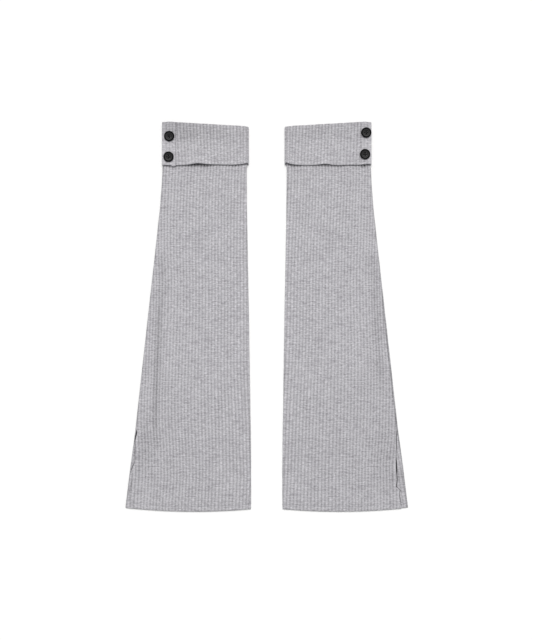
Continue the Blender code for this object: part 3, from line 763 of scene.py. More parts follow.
        # painted shade on the back where it shows in the slit, and at its outer edge
        shade = STRIP_SHADES[self.side]
        below_top = section.down - SLIT_TOP
        strip = STRIP_PAINTED_SHADE * smooth(0.0, self.STRIP_FADE, below_top)
        strip += shade.tuck * bump(section.down - shade.down, shade.half_length)
        strip *= smooth(0.0, 1.0, past)
        strip += smooth(0.0, self.EDGE_FADE, below_top) * self.at_edge(section, out)
        return Spot(
            Vector((out, self.lean(section, out), section.under + self.half + rise)),
            Vector((0.0, 0.0, -1.0)),
            (self.half - hollow) * rounding,
            (self.half + self.INSIDE_SHARE * relief * (0.5 - crest)) * rounding,
            number,
            section.down,
            self.BACK_PAINTED_SHADE + strip + self.seam(section, out) + gap.tuck * in_gap,
        )

    def bend(self, section, angle, number, rounding):
        """A spot on the inner fold, where the front's raised ribs pass into the back's pressed ones."""
        sizes = self.sizes
        turned = math.radians(angle)
        facing = Vector((-math.sin(turned), 0.0, math.cos(turned)))
        radius = self.start(section) - section.inner
        reach = radius - self.half
        out = section.inner + radius + facing.x * reach
        crest = rib_crest(number)
        band, groove = self.hem(sizes.length - section.down)
        ribs = section.rib * (1.0 - self.HEM_FLAT * band)
        pressed = smooth(0.0, self.PRESSED_ANGLE, angle)
        # painted shade along the inner fold
        line = interpolate(FOLD_LINES[self.side], section.down).tuck
        line *= bump(out - section.inner - FOLD_LINE_IN, FOLD_LINE_HALF) * max(facing.z, 0.0)
        raised = sizes.rib_rise * crest * ribs + self.HEM_RISE * band
        relief = lerp(raised, -sizes.back_relief * (1.0 - crest) * ribs, pressed)
        return Spot(
            Vector((out, self.lean(section, out), section.under + radius + facing.z * reach)),
            facing,
            (self.half + relief - groove) * rounding,
            (self.half + self.INSIDE_SHARE * sizes.back_relief * ribs * (0.5 - crest) * pressed) * rounding,
            number,
            section.down,
            self.BACK_PAINTED_SHADE * pressed + line,
        )

    def fan(self, section, out):
        """How far the back's ribs are drawn outwards beside the slit, where they run along its edge."""
        slit = max(section.outer - self.section(SLIT_TOP).outer, 0.0)
        return slit * smooth(*self.FAN, out)

    def rib_shift(self, down, out):
        """How far out the front's ribs are of lines parallel to the inner fold."""
        shifts = interpolate(RIB_SHIFTS[self.side], down)[1:]
        column = min(max((out - SHIFT_START) / SHIFT_STEP, 0.0), len(shifts) - 1.0)
        step = min(int(column), len(shifts) - 2)
        return lerp(shifts[step], shifts[step + 1], column - step)

    def from_fold(self, section, column):
        """(how far along the cloth a column lies from the start of the inner fold, its rib number). The
        distance is above 0 on the front and below -turn on the back."""
        stretch, value = column
        start, pitch = self.start(section), self.pitch(section.down)
        at_fold = self.rib_shift(section.down, start)
        if stretch == "bend":
            return at_fold - value / 180.0 * self.turn(section), -value / 180.0
        seed = self.seed + self.WANDER_SEED
        wander = unevenness(value, section.down, seed, self.WANDER_RIBS, self.WANDER_DOWN)
        straight = value * pitch + self.WANDER * wander * smooth(0.0, 3.0, value)
        if stretch == "back":
            return at_fold - self.turn(section) - straight, -1.0 - value
        shifted = straight
        for _ in range(3):
            shifted = straight + self.rib_shift(section.down, start + shifted)
        return shifted, value

    def number_at(self, section, out, on_front):
        """The rib number at a place out."""
        start, pitch = self.start(section), self.pitch(section.down)
        if on_front:
            return (out - start - self.rib_shift(section.down, out)) / pitch
        return -1.0 - (out - self.fan(section, out) - start + self.rib_shift(section.down, start)) / pitch

    def strip(self, section, value):
        """Out: a place on the back's strip of finer columns. It is 0 where they begin, 1 below the front's
        cut edge, 2 at the far side of the gap beside it and 3 at the back's own edge."""
        front_edge, own_edge = self.front_edge(section), section.outer - RIM_STEPS[-1]
        gap_side = front_edge + self.gap(section.down).width
        marks = [front_edge - self.STRIP_START, front_edge, gap_side, own_edge]
        marks = [min(mark, own_edge) for mark in marks]
        step = min(int(value), len(marks) - 2)
        return lerp(marks[step], marks[step + 1], value - step)

    def spot(self, down, column):
        stretch, value = column
        section = self.section(down)
        start, turn = self.start(section), self.turn(section)
        rounding = self.end_rim(down)
        innermost = RIM_STEPS[-1]
        if stretch in ("front", "bend", "back"):
            along, number = self.from_fold(section, column)
            if -turn < along < 0.0:
                return self.bend(section, -along / turn * 180.0, number, rounding)
            on_front = along >= 0.0
            out = start + along if on_front else start - turn - along
            if not on_front:
                out += self.fan(section, out)
            edge = self.front_edge(section) if on_front else section.outer
            latest = edge - innermost if on_front else self.strip(section, 0.0)
            inside = innermost
            if out > latest:
                out = latest
                number = self.number_at(section, out, on_front)
        else:
            on_front = stretch == "front rim"
            edge = self.front_edge(section) if on_front else section.outer
            out = self.strip(section, value) if stretch == "strip" else edge - value
            inside = min(edge - out, innermost)
            number = self.number_at(section, out, on_front)
        rounding *= rim(inside, self.sizes.wall * self.EDGE_ROUND)
        return (self.front if on_front else self.back)(section, out, number, rounding)

    def rows(self):
        """Distances down, closest at the top's and the hem's edges and where the slit's edge turns."""
        top, length = SECTIONS[0].down, self.sizes.length
        band = self.sizes.hem_band
        hidden = [top + step for step in RIM_STEPS] + spread(16.0, 48.0, 8.0)
        body = spread(51.5, 63.5, 1.0) + spread(68.0, 384.0, 4.8)
        body += spread(387.0, length - band - 4.0, 2.4)
        hem = [length - band + step for step in (-1.6, -0.8, 0.0, 0.8, 1.6)] + [length - 3.2, length - 1.8]
        return hidden + body + hem + [length - step for step in reversed(RIM_STEPS)]

    def columns(self):
        """From the front's cut edge over the front, round the inner fold and along the back to its edge."""
        widest = SECTIONS[-1].outer - SECTIONS[-1].inner
        ribs = math.ceil(widest / self.pitch(SECTIONS[-1].down)) + SPARE_RIBS
        front = [("front", float(n + share)) for n in range(ribs) for share in RIB_COLUMNS]
        bend = [("bend", 180.0 * i / SIDE_BENDS) for i in range(1, SIDE_BENDS)]
        back = [
            ("back", n + share) for n in range(ribs) for share in (RIB_COLUMNS if n < 2 else BACK_COLUMNS)
        ]
        strip = [("strip", value) for value in spread(0.0, 2.0, 0.16) + spread(2.08, 3.0, 0.08)]
        front_rim = [("front rim", step) for step in RIM_STEPS]
        back_rim = [("back rim", step) for step in reversed(RIM_STEPS)]
        return front_rim + front[::-1] + bend + back + strip + back_rim


# ---------------------------------------------------------------- the cuff's form
class CuffForm(ClothForm):
    """Where the cloth of one cuff lies, and the placket on it. A column is (stretch, value): a rib number on
    the front or the back, a distance out on the plain strip under the placket, or an angle round a side. A
    row is (stretch, value): a distance above the lower edge, an angle round the top fold, or a distance down
    inside."""

    SEED, RIB_SEED = 55.0, 9.0
    OUTER_CORNER, OUTER_CORNER_REACH = 0.9, 7.0  # how far the fold drops at its corners, and over what width
    INNER_CORNER, INNER_CORNER_REACH = 0.5, 3.0
    BOW, BOW_ACROSS, BOW_DOWN = 0.2, 26.0, 20.0  # unevenness of the front's bow, and its size
    LIFT_FROM = 0.7  # share of the way down where the edge begins to lift off the leg
    SHIFT_REACH = 12.0  # how far out of the inner side the ribs take to wander fully
    HEM_FLAT, GROOVE, RIB_UNEVEN_DOWN = 0.3, 0.3, 20.0  # what they are for the leg too
    BEND_RIBS = 0.15  # share of the ribs' rise round the inner side
    PLACKET_END = 36.0  # how far round the top fold the placket reaches, in degrees
    PLACKET_SIDE = 45.0  # and the angle round the outer side where it ends
    PLACKET_GAP = 0.1  # clearance between it and the cuff
    DEGREE = 0.06  # about the length of the placket's cloth round a bend, for one degree
    PRESSED_EDGE = 0.3  # share of the placket's thickness at its inner edge

    def __init__(self, side, sizes):
        super().__init__(side, sizes)
        self.reach = sizes.tube_clear + 2 * sizes.wall + sizes.layer_gap
        self.bend_inner = sizes.cuff_inner + self.reach
        self.bend_outer = sizes.cuff_outer - self.reach
        self.fold_middle = (sizes.tube_clear + self.reach) / 2
        self.fold_radius = (self.reach - sizes.tube_clear) / 2
        self.placket = PLACKETS[side]
        self.ribs = round((self.placket.inner - self.bend_inner) / sizes.cuff_pitch)
        self.pitch = (self.placket.inner - self.bend_inner) / self.ribs

    def fold_line(self, out):
        """How far down the top fold lies. Its corners round off."""
        outer_corner = smooth(self.bend_outer - self.OUTER_CORNER_REACH, self.bend_outer, out)
        inner_corner = smooth(self.bend_inner + self.INNER_CORNER_REACH, self.bend_inner, out) ** 2
        slope = FOLD_SLOPE * (self.sizes.cuff_outer - out)
        return slope + self.OUTER_CORNER * outer_corner + self.INNER_CORNER * inner_corner

    def bow(self, share, out):
        """How far the front bows up off the leg, at a share of the way down and a place out."""
        row = interpolate(CUFF_ROWS, share, ("rise",))
        lifts = total(CUFF_LIFTS[self.side], out)
        down = share * self.sizes.cuff_depth
        uneven = self.BOW * unevenness(out, down, self.seed, self.BOW_ACROSS, self.BOW_DOWN)
        return row.rise + lifts * smooth(self.LIFT_FROM, 1.0, share) ** 2 + uneven * smooth(0.1, 0.4, share)

    def fold_painted_shade(self, out, below_fold):
        """Painted shade near the top fold, where the cuff's top slopes away from the light."""
        place_in = FOLD_PAINTED_SHADES[self.side]
        amount = place_in.all_over + place_in.tuck * bump(out - place_in.out, place_in.half_width)
        return amount * (1.0 - smooth(place_in.down * 0.4, place_in.down, below_fold))

    def ribs_across(self):
        """The number of ribs between the inner and the outer side."""
        return (self.bend_outer - self.bend_inner) / self.pitch

    def station(self, column):
        """(out of the cuff's core line, angle of the direction out of the cloth, rib number, share of the
        ribs' rise)."""
        stretch, value = column
        if stretch == "front":
            return self.bend_inner + value * self.pitch, 90.0, value, 1.0
        if stretch == "plain":
            return value, 90.0, (value - self.bend_inner) / self.pitch, 0.0
        if stretch == "outer bend":
            around = (90.0 - value) / 180.0
            return self.bend_outer, value, self.ribs_across() + around, 0.0
        if stretch == "back":
            return self.bend_inner + value * self.pitch, -90.0, value, 1.0
        return self.bend_inner, value, (-90.0 - value) / -180.0 - 1.0, self.BEND_RIBS

    def rib_shift(self, core, share):
        """How far out the front's ribs are of lines parallel to the inner side, at a share of the way
        down."""
        shifts = CUFF_SHIFTS[self.side]
        across = (core - self.bend_inner) / (self.placket.inner - self.bend_inner)
        at_top = lerp(shifts.top_inner, shifts.top_outer, across)
        at_edge = lerp(shifts.low_inner, shifts.low_outer, across)
        return lerp(at_top, at_edge, share) * smooth(0.0, self.SHIFT_REACH, core - self.bend_inner)

    def shift(self, row, column, lift=0.0, drop=0.0):
        """(middle of the wall, direction out of it, distance below the fold, distance above the lower edge)
        at a distance, lift, off the cuff's own wall and with its lower edge moved down by drop."""
        stretch, value = row
        core, angle, _, _ = self.station(column)
        if column[0] == "front":
            share_down = 1.0 - value / self.sizes.cuff_depth if stretch == "flap" else 0.0
            core = min(core + self.rib_shift(core, share_down), self.placket.inner - RIM_STEPS[1])
        across, facing = math.cos(math.radians(angle)), math.sin(math.radians(angle))
        fold = self.fold_line(core)
        low = cuff_edge(self.side, self.sizes, core, facing) + drop
        if stretch == "flap":
            start = fold + self.fold_radius
            share = 1.0 - value / self.sizes.cuff_depth
            down = start + (low - start) * share
            reach = self.reach - self.half + lift
            height = self.reach + facing * reach
            height += self.bow((down - fold) / (low - fold), core) * max(facing, 0.0)
            middle = Vector((core + across * reach, down, height))
            return middle, Vector((across, 0.0, facing)), down - fold, low - down
        if stretch == "tuck":
            reach = self.sizes.tube_clear + self.half
            middle = Vector((core + across * reach, fold + value, self.reach + facing * reach))
            return middle, Vector((-across, 0.0, -facing)), value, self.sizes.cuff_depth
        turn = math.radians(value)
        radius = self.fold_radius - self.half + lift
        reach = self.fold_middle + radius * math.cos(turn)
        down = fold + self.fold_radius - radius * math.sin(turn)
        middle = Vector((core + across * reach, down, self.reach + facing * reach))
        outwards = Vector((across * math.cos(turn), -math.sin(turn), facing * math.cos(turn)))
        return middle, outwards, 0.0, self.sizes.cuff_depth

    def spot(self, row, column):
        sizes = self.sizes
        stretch, value = row
        middle, outwards, below_fold, above_edge = self.shift(row, column)
        _, angle, number, ribbed = self.station(column)
        on_front = max(math.sin(math.radians(angle)), 0.0)
        crest = rib_crest(number) * ribbed
        band, groove = self.hem(above_edge)
        rounding = 1.0
        inner = self.half
        if stretch == "flap":
            share = below_fold / (below_fold + above_edge)
            ribs = interpolate(CUFF_ROWS, share).rib * self.rib_share(middle.x, middle.y, band)
            rounding = rim(above_edge, self.half)
        elif stretch == "fold":
            ribs = CUFF_ROWS[0].rib * max(math.cos(math.radians(value)), 0.0)
        else:
            ribs = 0.0
            rounding = rim(sizes.cuff_tuck - value, self.half)
        raised = sizes.rib_rise * ribs * crest + self.HEM_RISE * band - groove
        pressed = -sizes.back_relief * ribs * (1.0 - rib_crest(number)) * ribbed - groove
        outer = self.half + lerp(pressed, raised, on_front if abs(angle) == 90.0 else 0.5)
        # painted shade near the top fold, on the front
        tuck = self.fold_painted_shade(middle.x, below_fold) * on_front
        return Spot(middle, outwards, outer * rounding, inner * rounding, number, below_fold, tuck)

    def rows(self):
        """From the lower edge, up the front, over the top fold and down inside."""
        sizes = self.sizes
        band = sizes.hem_band
        edge = list(RIM_STEPS) + [1.6, 2.8, 4.0] + [band + step for step in (-1.4, -0.7, 0.0, 0.7, 1.4)]
        flap = edge + spread(band + 3.0, sizes.cuff_depth - 3.0, 2.2) + [sizes.cuff_depth - 1.2]
        fold = [("fold", angle) for angle in FOLD_ANGLES]
        tuck = [3.0, 5.0] + [sizes.cuff_tuck - step for step in reversed(RIM_STEPS)]
        return [("flap", value) for value in flap] + fold + [("tuck", value) for value in tuck]

    def columns(self):
        """All round, from the inner side over the front to the outer side and back to where it begins."""
        front = [("front", float(n + share)) for n in range(self.ribs + 1) for share in RIB_COLUMNS]
        plain = [("plain", out) for out in spread(self.placket.inner, self.bend_outer, 1.2)]
        steps = [i / SIDE_BENDS for i in range(1, SIDE_BENDS)]
        outer = [("outer bend", lerp(90.0, -90.0, step)) for step in steps]
        back = [("back", float(n + share)) for n in range(int(self.ribs_across())) for share in BACK_COLUMNS]
        back.append(("back", self.ribs_across()))
        inner = [("inner bend", lerp(-90.0, -270.0, step)) for step in steps]
        return front + plain + outer + back[::-1] + inner + front[:1]

    def placket_spot(self, row, column):
        """A spot on the placket, which lies on the cuff with its edges pressed down and rounded."""
        sizes = self.sizes
        half = sizes.placket_wall / 2
        core, angle, number, _ = self.station(column)
        inside = core - self.placket.inner
        off = abs(core - self.placket.drop_out) / self.placket.half_width
        drop = self.placket.drop * math.exp(-(off**4))
        lift = self.half + half + self.PLACKET_GAP
        middle, outwards, below_fold, above_edge = self.shift(row, column, lift, drop)
        thickness = lerp(self.PRESSED_EDGE, 1.0, smooth(0.0, 4.0, inside))
        from_side = inside if angle == 90.0 else (angle - self.PLACKET_SIDE) * self.DEGREE
        rounding = rim(from_side, half) * rim(above_edge, half)
        if row[0] == "fold":
            rounding *= rim((self.PLACKET_END - row[1]) * self.DEGREE, half)
        raised = 0.5 * sizes.rib_rise * rib_crest(number)
        # the same painted shade near the top fold, on the placket
        tuck = self.fold_painted_shade(middle.x, below_fold)
        middle -= outwards * half * (1.0 - thickness)
        reach = half * thickness
        return Spot(middle, outwards, (reach + raised) * rounding, reach * rounding, number, below_fold, tuck)

    def placket_rows(self):
        flap = list(RIM_STEPS) + spread(1.8, self.sizes.cuff_depth - 2.0, 1.8)
        fold = [("fold", lerp(0.0, self.PLACKET_END, share)) for share in (0.0, 0.3, 0.6, 0.8, 0.95, 1.0)]
        return [("flap", value) for value in flap] + fold

    def placket_columns(self):
        inner = [self.placket.inner + step for step in RIM_STEPS]
        flat = inner + spread(self.placket.inner + 1.6, self.bend_outer, 0.9)
        bend = [("outer bend", angle) for angle in PLACKET_BEND]
        return [("plain", out) for out in flat] + bend


# ---------------------------------------------------------------- buttons and thread
# Half section of a turned button: (distance from its axis, height above its back).
BUTTON_PROFILE = (
    (0.0, 0.0),
    (4.7, 0.0),
    (5.4, 0.15),
    (6.1, 0.55),
    (6.5, 1.0),
    (6.65, 1.45),
    (6.57, 1.85),
    (6.3, 2.2),
    (5.9, 2.38),
    (5.5, 2.33),
    (5.2, 2.12),
    (5.0, 1.82),
    (4.7, 1.64),
    (4.2, 1.55),
    (2.9, 1.42),
    (0.0, 1.32),
)
BUTTON_STEPS = 64
HOLE_RADIUS = 0.75
HOLE_OFFSET = 1.35
HOLE_STEPS = 20
DRILL_MIDDLE, DRILL_LENGTH = 1.0, 6.0
SHARP = 40.0  # edges bent by more degrees than this stay sharp
LOOKS_DOWN = -0.97  # a face whose normal's Z is below this belongs to a button's flat back
# The thread: the height of its lower bar, how much higher the bar across it lies, how far the two strands of
# a bar lie from its middle, and their width and height. Under the button it is wound into a shank.
BAR_HEIGHT, BAR_STEP, STRAND_OFFSET = 1.42, 0.16, 0.22
STRAND_WIDTH, STRAND_HEIGHT = 0.46, 0.75
SHANK_MIDDLE, SHANK_LENGTH = -0.15, 0.34
SHANK_BOTTOM, SHANK_TOP = 1.9, 1.7
STITCH_SHARE = 0.86  # share of the stitch spacing that shows as thread between two needle holes
STITCH_ABOVE = 0.12  # how far the middle of a stitch lies above the cloth, so that it is nearly half sunk in


def button_blank():
    """A turned disc with a rounded rim and a dished face, before its holes are drilled."""
    disc = bmesh.new()
    points = [disc.verts.new(Vector((radius, 0.0, height)) * MM) for radius, height in BUTTON_PROFILE]
    edges = [disc.edges.new(pair) for pair in zip(points, points[1:])]
    bmesh.ops.spin(
        disc,
        geom=points + edges,
        cent=(0, 0, 0),
        axis=(0, 0, 1),
        angle=math.tau,
        steps=BUTTON_STEPS,
        use_merge=True,
    )
    bmesh.ops.remove_doubles(disc, verts=disc.verts, dist=WELD * MM / 4)
    bmesh.ops.recalc_face_normals(disc, faces=disc.faces)
    return add_object("button_blank", disc)


def button_drill():
    """Four cylinders where the thread holes go."""
    drills = bmesh.new()
    for across in (-HOLE_OFFSET, HOLE_OFFSET):
        for along in (-HOLE_OFFSET, HOLE_OFFSET):
            made = bmesh.ops.create_cone(
                drills,
                cap_ends=True,
                segments=HOLE_STEPS,
                radius1=HOLE_RADIUS * MM,
                radius2=HOLE_RADIUS * MM,
                depth=DRILL_LENGTH * MM,
            )
            bmesh.ops.translate(drills, verts=made["verts"], vec=Vector((across, along, DRILL_MIDDLE)) * MM)
    return add_object("button_drill", drills)


def drilled_button():
    """The mesh of a button with its four holes cut through."""
    blank, drill = button_blank(), button_drill()
    cut = blank.modifiers.new("thread holes", "BOOLEAN")
    cut.operation = "DIFFERENCE"
    cut.solver = "EXACT"
    cut.object = drill
    bpy.context.view_layer.update()
    finished = bpy.data.meshes.new_from_object(blank.evaluated_get(bpy.context.evaluated_depsgraph_get()))
    for helper in (blank, drill):
        bpy.data.objects.remove(helper, do_unlink=True)
    finished.shade_smooth()
    finished.set_sharp_from_angle(angle=math.radians(SHARP))
    from_axis = finished.attributes.new(FROM_AXIS, "FLOAT", "POINT")
    for corner in finished.vertices:
        from_axis.data[corner.index].value = corner.co.xy.length / MM
    return finished


def button_seat(node):
    """Where a button of the construction model sits: the frame of its flat back, with Z along its axis."""
    flat = [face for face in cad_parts[node].data.polygons if face.normal.z < LOOKS_DOWN]
    area = sum(face.area for face in flat)
    middle = sum((face.center * face.area for face in flat), Vector()) / area
    axis = -sum((face.normal * face.area for face in flat), Vector()).normalized()
    return Matrix.Translation(middle) @ axis.to_track_quat("Z", "Y").to_matrix().to_4x4()


def add_bead(mesh, middle, along, up, length, width, height):
    """A short stitch: a bead lying along one direction, whose ends dip into the cloth."""
    along = (along - up * along.dot(up)).normalized()
    turn = Matrix((along, up.cross(along), up)).transposed().to_4x4()
    shape = Matrix.Diagonal((length / 2, width / 2, height / 2, 1.0))
    bmesh.ops.create_uvsphere(
        mesh, u_segments=8, v_segments=6, radius=MM, matrix=Matrix.Translation(middle) @ turn @ shape
    )


def button_thread():
    """The thread that holds a button: a cross over its middle and a wound shank under it."""
    mesh = bmesh.new()
    reach = 2 * HOLE_OFFSET * math.sqrt(2.0) + HOLE_RADIUS
    up = Vector((0.0, 0.0, 1.0))
    for level, direction in enumerate((Vector((1.0, 1.0, 0.0)), Vector((1.0, -1.0, 0.0)))):
        for offset in (-STRAND_OFFSET, STRAND_OFFSET):
            sideways = direction.normalized().cross(up) * offset
            middle = (sideways + Vector((0.0, 0.0, BAR_HEIGHT + BAR_STEP * level))) * MM
            add_bead(mesh, middle, direction, up, reach, STRAND_WIDTH, STRAND_HEIGHT)
    bmesh.ops.create_cone(
        mesh,
        cap_ends=True,
        segments=16,
        radius1=SHANK_BOTTOM * MM,
        radius2=SHANK_TOP * MM,
        depth=SHANK_LENGTH * MM,
        matrix=Matrix.Translation((0.0, 0.0, SHANK_MIDDLE * MM)),
    )
    return mesh


# ---------------------------------------------------------------- materials
def set_inputs(tree, node, inputs):
    """Fills sockets of a node, given in order or by name or number, with a plain value, with another node,
    whose first output is linked, or with one output of it."""
    for name, value in inputs.items() if isinstance(inputs, dict) else enumerate(inputs):
        if isinstance(value, bpy.types.Node):
            value = value.outputs[0]
        if isinstance(value, bpy.types.NodeSocket):
            tree.links.new(value, node.inputs[name])
        else:
            node.inputs[name].default_value = value


def add_node(tree, kind, settings, inputs):
    """A new shader node with these settings, which are its own properties, and these inputs."""
    node = tree.nodes.new("ShaderNode" + kind)
    for name, value in settings.items():
        setattr(node, name, value)
    set_inputs(tree, node, inputs)
    return node


# The settings of the nodes that are used most.
PLUS = {"operation": "ADD"}
MINUS = {"operation": "SUBTRACT"}
TIMES = {"operation": "MULTIPLY"}
DIVIDED = {"operation": "DIVIDE"}
SINE = {"operation": "SINE"}
FOLDED = {"operation": "PINGPONG"}
SOFT_RANGE = {"interpolation_type": "SMOOTHSTEP"}
BLEND = {"data_type": "RGBA"}
BLENDED = 2  # the output of a Mix node that holds its colour


def rgba(colour):
    return (*colour, 1.0)


def new_material(name):
    """(material, its node tree, its Principled shader)."""
    material = bpy.data.materials.new(name)
    material.use_nodes = True
    return material, material.node_tree, material.node_tree.nodes["Principled BSDF"]


RIB_MM = 4.15  # a rib's width, which turns the knit map's U into millimetres
RIB_SHADE = 0.213  # painted shade: how much darker the bottom of a valley is made than the top of a rib
JERSEY_SHADE = 0.16  # and the same for the placket's faint ribs
VALLEY_REACH = 0.375  # how far from its bottom, in ribs, a valley has painted shade
TUCK_VALLEY, TUCK_SHADE = 0.02, 0.1  # painted shade: how much 1 of tuck darkens a valley's bottom, and everything
DOT_SPACING, DOT_SHADE = 3.8, 0.06  # of the purl loops' holes down a valley, and how much painted shade darkens it there
DOT_DRIFT = 14.0  # how far, in radians, their places differ from rib to rib
# The marl. A fleck is a place where noise passes from the first to the second of these heights.
PALE_FLECKS, DARK_FLECKS = (0.4, 0.7), (0.46, 0.7)
DARKEST = 0.44  # share of charcoal in the darkest fleck
# Cells of noise to a millimetre down the rib, and the share of that across it. The runs are the dark fibres.
FLECK_SCALE, FLECK_STRETCH = 0.74, 0.32
RUN_SCALE, RUN_STRETCH, RUN_SEED = 0.8, 0.13, 7.0
FIBRES = {"Detail": 2.5, "Roughness": 0.62}
CLOUDY = (0.973, 1.031)  # how light the cloth's darkest and palest large patches are
SPECKLE = 0.12  # and how much its small ones differ from that
# The stitches' relief, in shares of RELIEF_HEIGHT.
WALES = 4.0  # columns of stitches to a rib: two on its top and two in its valley
STITCH_HEIGHT = 2.6
STITCH_SLANT, LOOP_RELIEF, WALE_RELIEF, FUZZ_RELIEF = 1.1, 0.35, 1.6, 0.7
RELIEF_HEIGHT = 0.22


def marl_colour(tree, colours, across, along):
    """The yarn's colour: pale and charcoal fibres blended into a mid grey. Fibres lie along the courses,
    across the ribs, so a fleck is wider than it is high. The largest are drawn 4 by 1.3 mm, three times their
    real size, so that they still show at the size the pair is seen. Dark fibres come in longer runs, of about
    10 mm."""
    across_fleck = add_node(tree, "Math", TIMES, (across, FLECK_STRETCH))
    courses = add_node(tree, "CombineXYZ", {}, (across_fleck, along))
    flecks = add_node(tree, "TexNoise", {}, {"Vector": courses, "Scale": FLECK_SCALE, **FIBRES})
    across_run = add_node(tree, "Math", TIMES, (across, RUN_STRETCH))
    runs = add_node(tree, "CombineXYZ", {}, (across_run, along, RUN_SEED))
    dark_flecks = add_node(tree, "TexNoise", {}, {"Vector": runs, "Scale": RUN_SCALE, **FIBRES})
    pale = add_node(tree, "MapRange", SOFT_RANGE, (flecks, *PALE_FLECKS))
    dark = add_node(tree, "MapRange", SOFT_RANGE, (dark_flecks, *DARK_FLECKS, 0.0, DARKEST))
    colour = add_node(tree, "Mix", BLEND, {0: pale, 6: rgba(colours.yarn), 7: rgba(colours.pale_fibre)})
    charcoal = {0: dark, 6: colour.outputs[BLENDED], 7: rgba(colours.dark_fibre)}
    return add_node(tree, "Mix", BLEND, charcoal).outputs[BLENDED]


def rib_shade(tree, rib, along, plain, valley_painted_shade):
    """How light the cloth's colour is, with painted shade: darker in the valleys, more where the tuck
    attribute paints shade, and dotted darker where the purl loops leave holes. The dots are drawn three
    courses apart."""
    tucked = add_node(tree, "Attribute", {"attribute_name": PAINTED_SHADE}, {}).outputs["Fac"]
    from_valley = add_node(tree, "Math", FOLDED, (rib, 0.5))
    valley = add_node(tree, "MapRange", SOFT_RANGE, (from_valley, 0.0, VALLEY_REACH, 1.0, 0.0))
    wander = add_node(tree, "TexNoise", {}, {"Vector": plain, "Scale": 0.09, "Detail": 1.0})
    drift = add_node(tree, "Math", TIMES, (wander, DOT_DRIFT))
    turns = add_node(tree, "Math", TIMES, (along, math.tau / DOT_SPACING))
    dots = add_node(tree, "Math", SINE, (add_node(tree, "Math", PLUS, (turns, drift)),))
    depth = add_node(tree, "Math", PLUS, (add_node(tree, "Math", TIMES, (tucked, TUCK_VALLEY)), valley_painted_shade))
    depth = add_node(tree, "Math", PLUS, (depth, add_node(tree, "Math", TIMES, (dots, DOT_SHADE))))
    cloud = add_node(tree, "TexNoise", {}, {"Vector": plain, "Scale": 0.06})
    cloudy = add_node(tree, "MapRange", {}, (cloud, 0.3, 0.7, *CLOUDY))
    grains = add_node(tree, "TexNoise", {}, {"Vector": plain, "Scale": 0.6, "Detail": 1.0})
    speckle = add_node(tree, "MapRange", {}, (grains, 0.25, 0.75, -SPECKLE, SPECKLE))
    shade = add_node(tree, "Math", PLUS, (cloudy, speckle))
    shade = add_node(tree, "Math", MINUS, (shade, add_node(tree, "Math", TIMES, (valley, depth))))
    return add_node(tree, "Math", MINUS, (shade, add_node(tree, "Math", TIMES, (tucked, TUCK_SHADE))))


def stitch_relief(tree, rib, along, fuzz):
    """The relief of the stitches, each of them a V. They are drawn twice their real height, which would be
    lost."""
    wale = add_node(tree, "Math", FOLDED, (add_node(tree, "Math", TIMES, (rib, WALES)), 0.5))
    rise = add_node(tree, "Math", DIVIDED, (along, STITCH_HEIGHT))
    course = add_node(tree, "Math", PLUS, (rise, add_node(tree, "Math", TIMES, (wale, STITCH_SLANT))))
    loops = add_node(tree, "Math", SINE, (add_node(tree, "Math", TIMES, (course, math.tau)),))
    low_loops = add_node(tree, "Math", TIMES, (loops, LOOP_RELIEF))
    relief = add_node(tree, "Math", PLUS, (low_loops, add_node(tree, "Math", TIMES, (wale, WALE_RELIEF))))
    return add_node(tree, "Math", PLUS, (relief, add_node(tree, "Math", TIMES, (fuzz, FUZZ_RELIEF))))


def knit_material(name, colours, valley_painted_shade):
    """Cotton rib knit in a heather-grey marl yarn. The yarn blends pale, mid and charcoal fibres, so the
    cloth is flecked along its courses; it is matt, with a soft bloom from its loose fibres."""
    material, tree, shader = new_material(name)
    knit_map = add_node(tree, "UVMap", {"uv_map": KNIT_MAP}, {})
    split = add_node(tree, "SeparateXYZ", {}, (knit_map,))
    rib, along = split.outputs["X"], split.outputs["Y"]
    across = add_node(tree, "Math", TIMES, (rib, RIB_MM))
    plain = add_node(tree, "CombineXYZ", {}, (across, along))
    colour = marl_colour(tree, colours, across, along)
    # painted shade, multiplied into the yarn's colour
    shade = rib_shade(tree, rib, along, plain, valley_painted_shade)
    shaded = add_node(tree, "VectorMath", {"operation": "SCALE"}, {0: colour, "Scale": shade})
    loose_fibres = {"Scale": 2.4, "Detail": 2.5, "Roughness": 0.65}
    fuzz = add_node(tree, "TexNoise", {}, {"Vector": plain, **loose_fibres})
    relief = stitch_relief(tree, rib, along, fuzz)
    bumps = {"Strength": 0.55, "Distance": RELIEF_HEIGHT * MM}
    surface = add_node(tree, "Bump", {}, {**bumps, "Height": relief})
    rough = add_node(tree, "MapRange", {}, (fuzz, 0.3, 0.7, 0.86, 0.98))
    bloom = {"Specular IOR Level": 0.2, "Sheen Weight": 0.12, "Sheen Roughness": 0.5}
    set_inputs(tree, shader, {"Base Color": shaded, "Normal": surface, "Roughness": rough, **bloom})
    return material


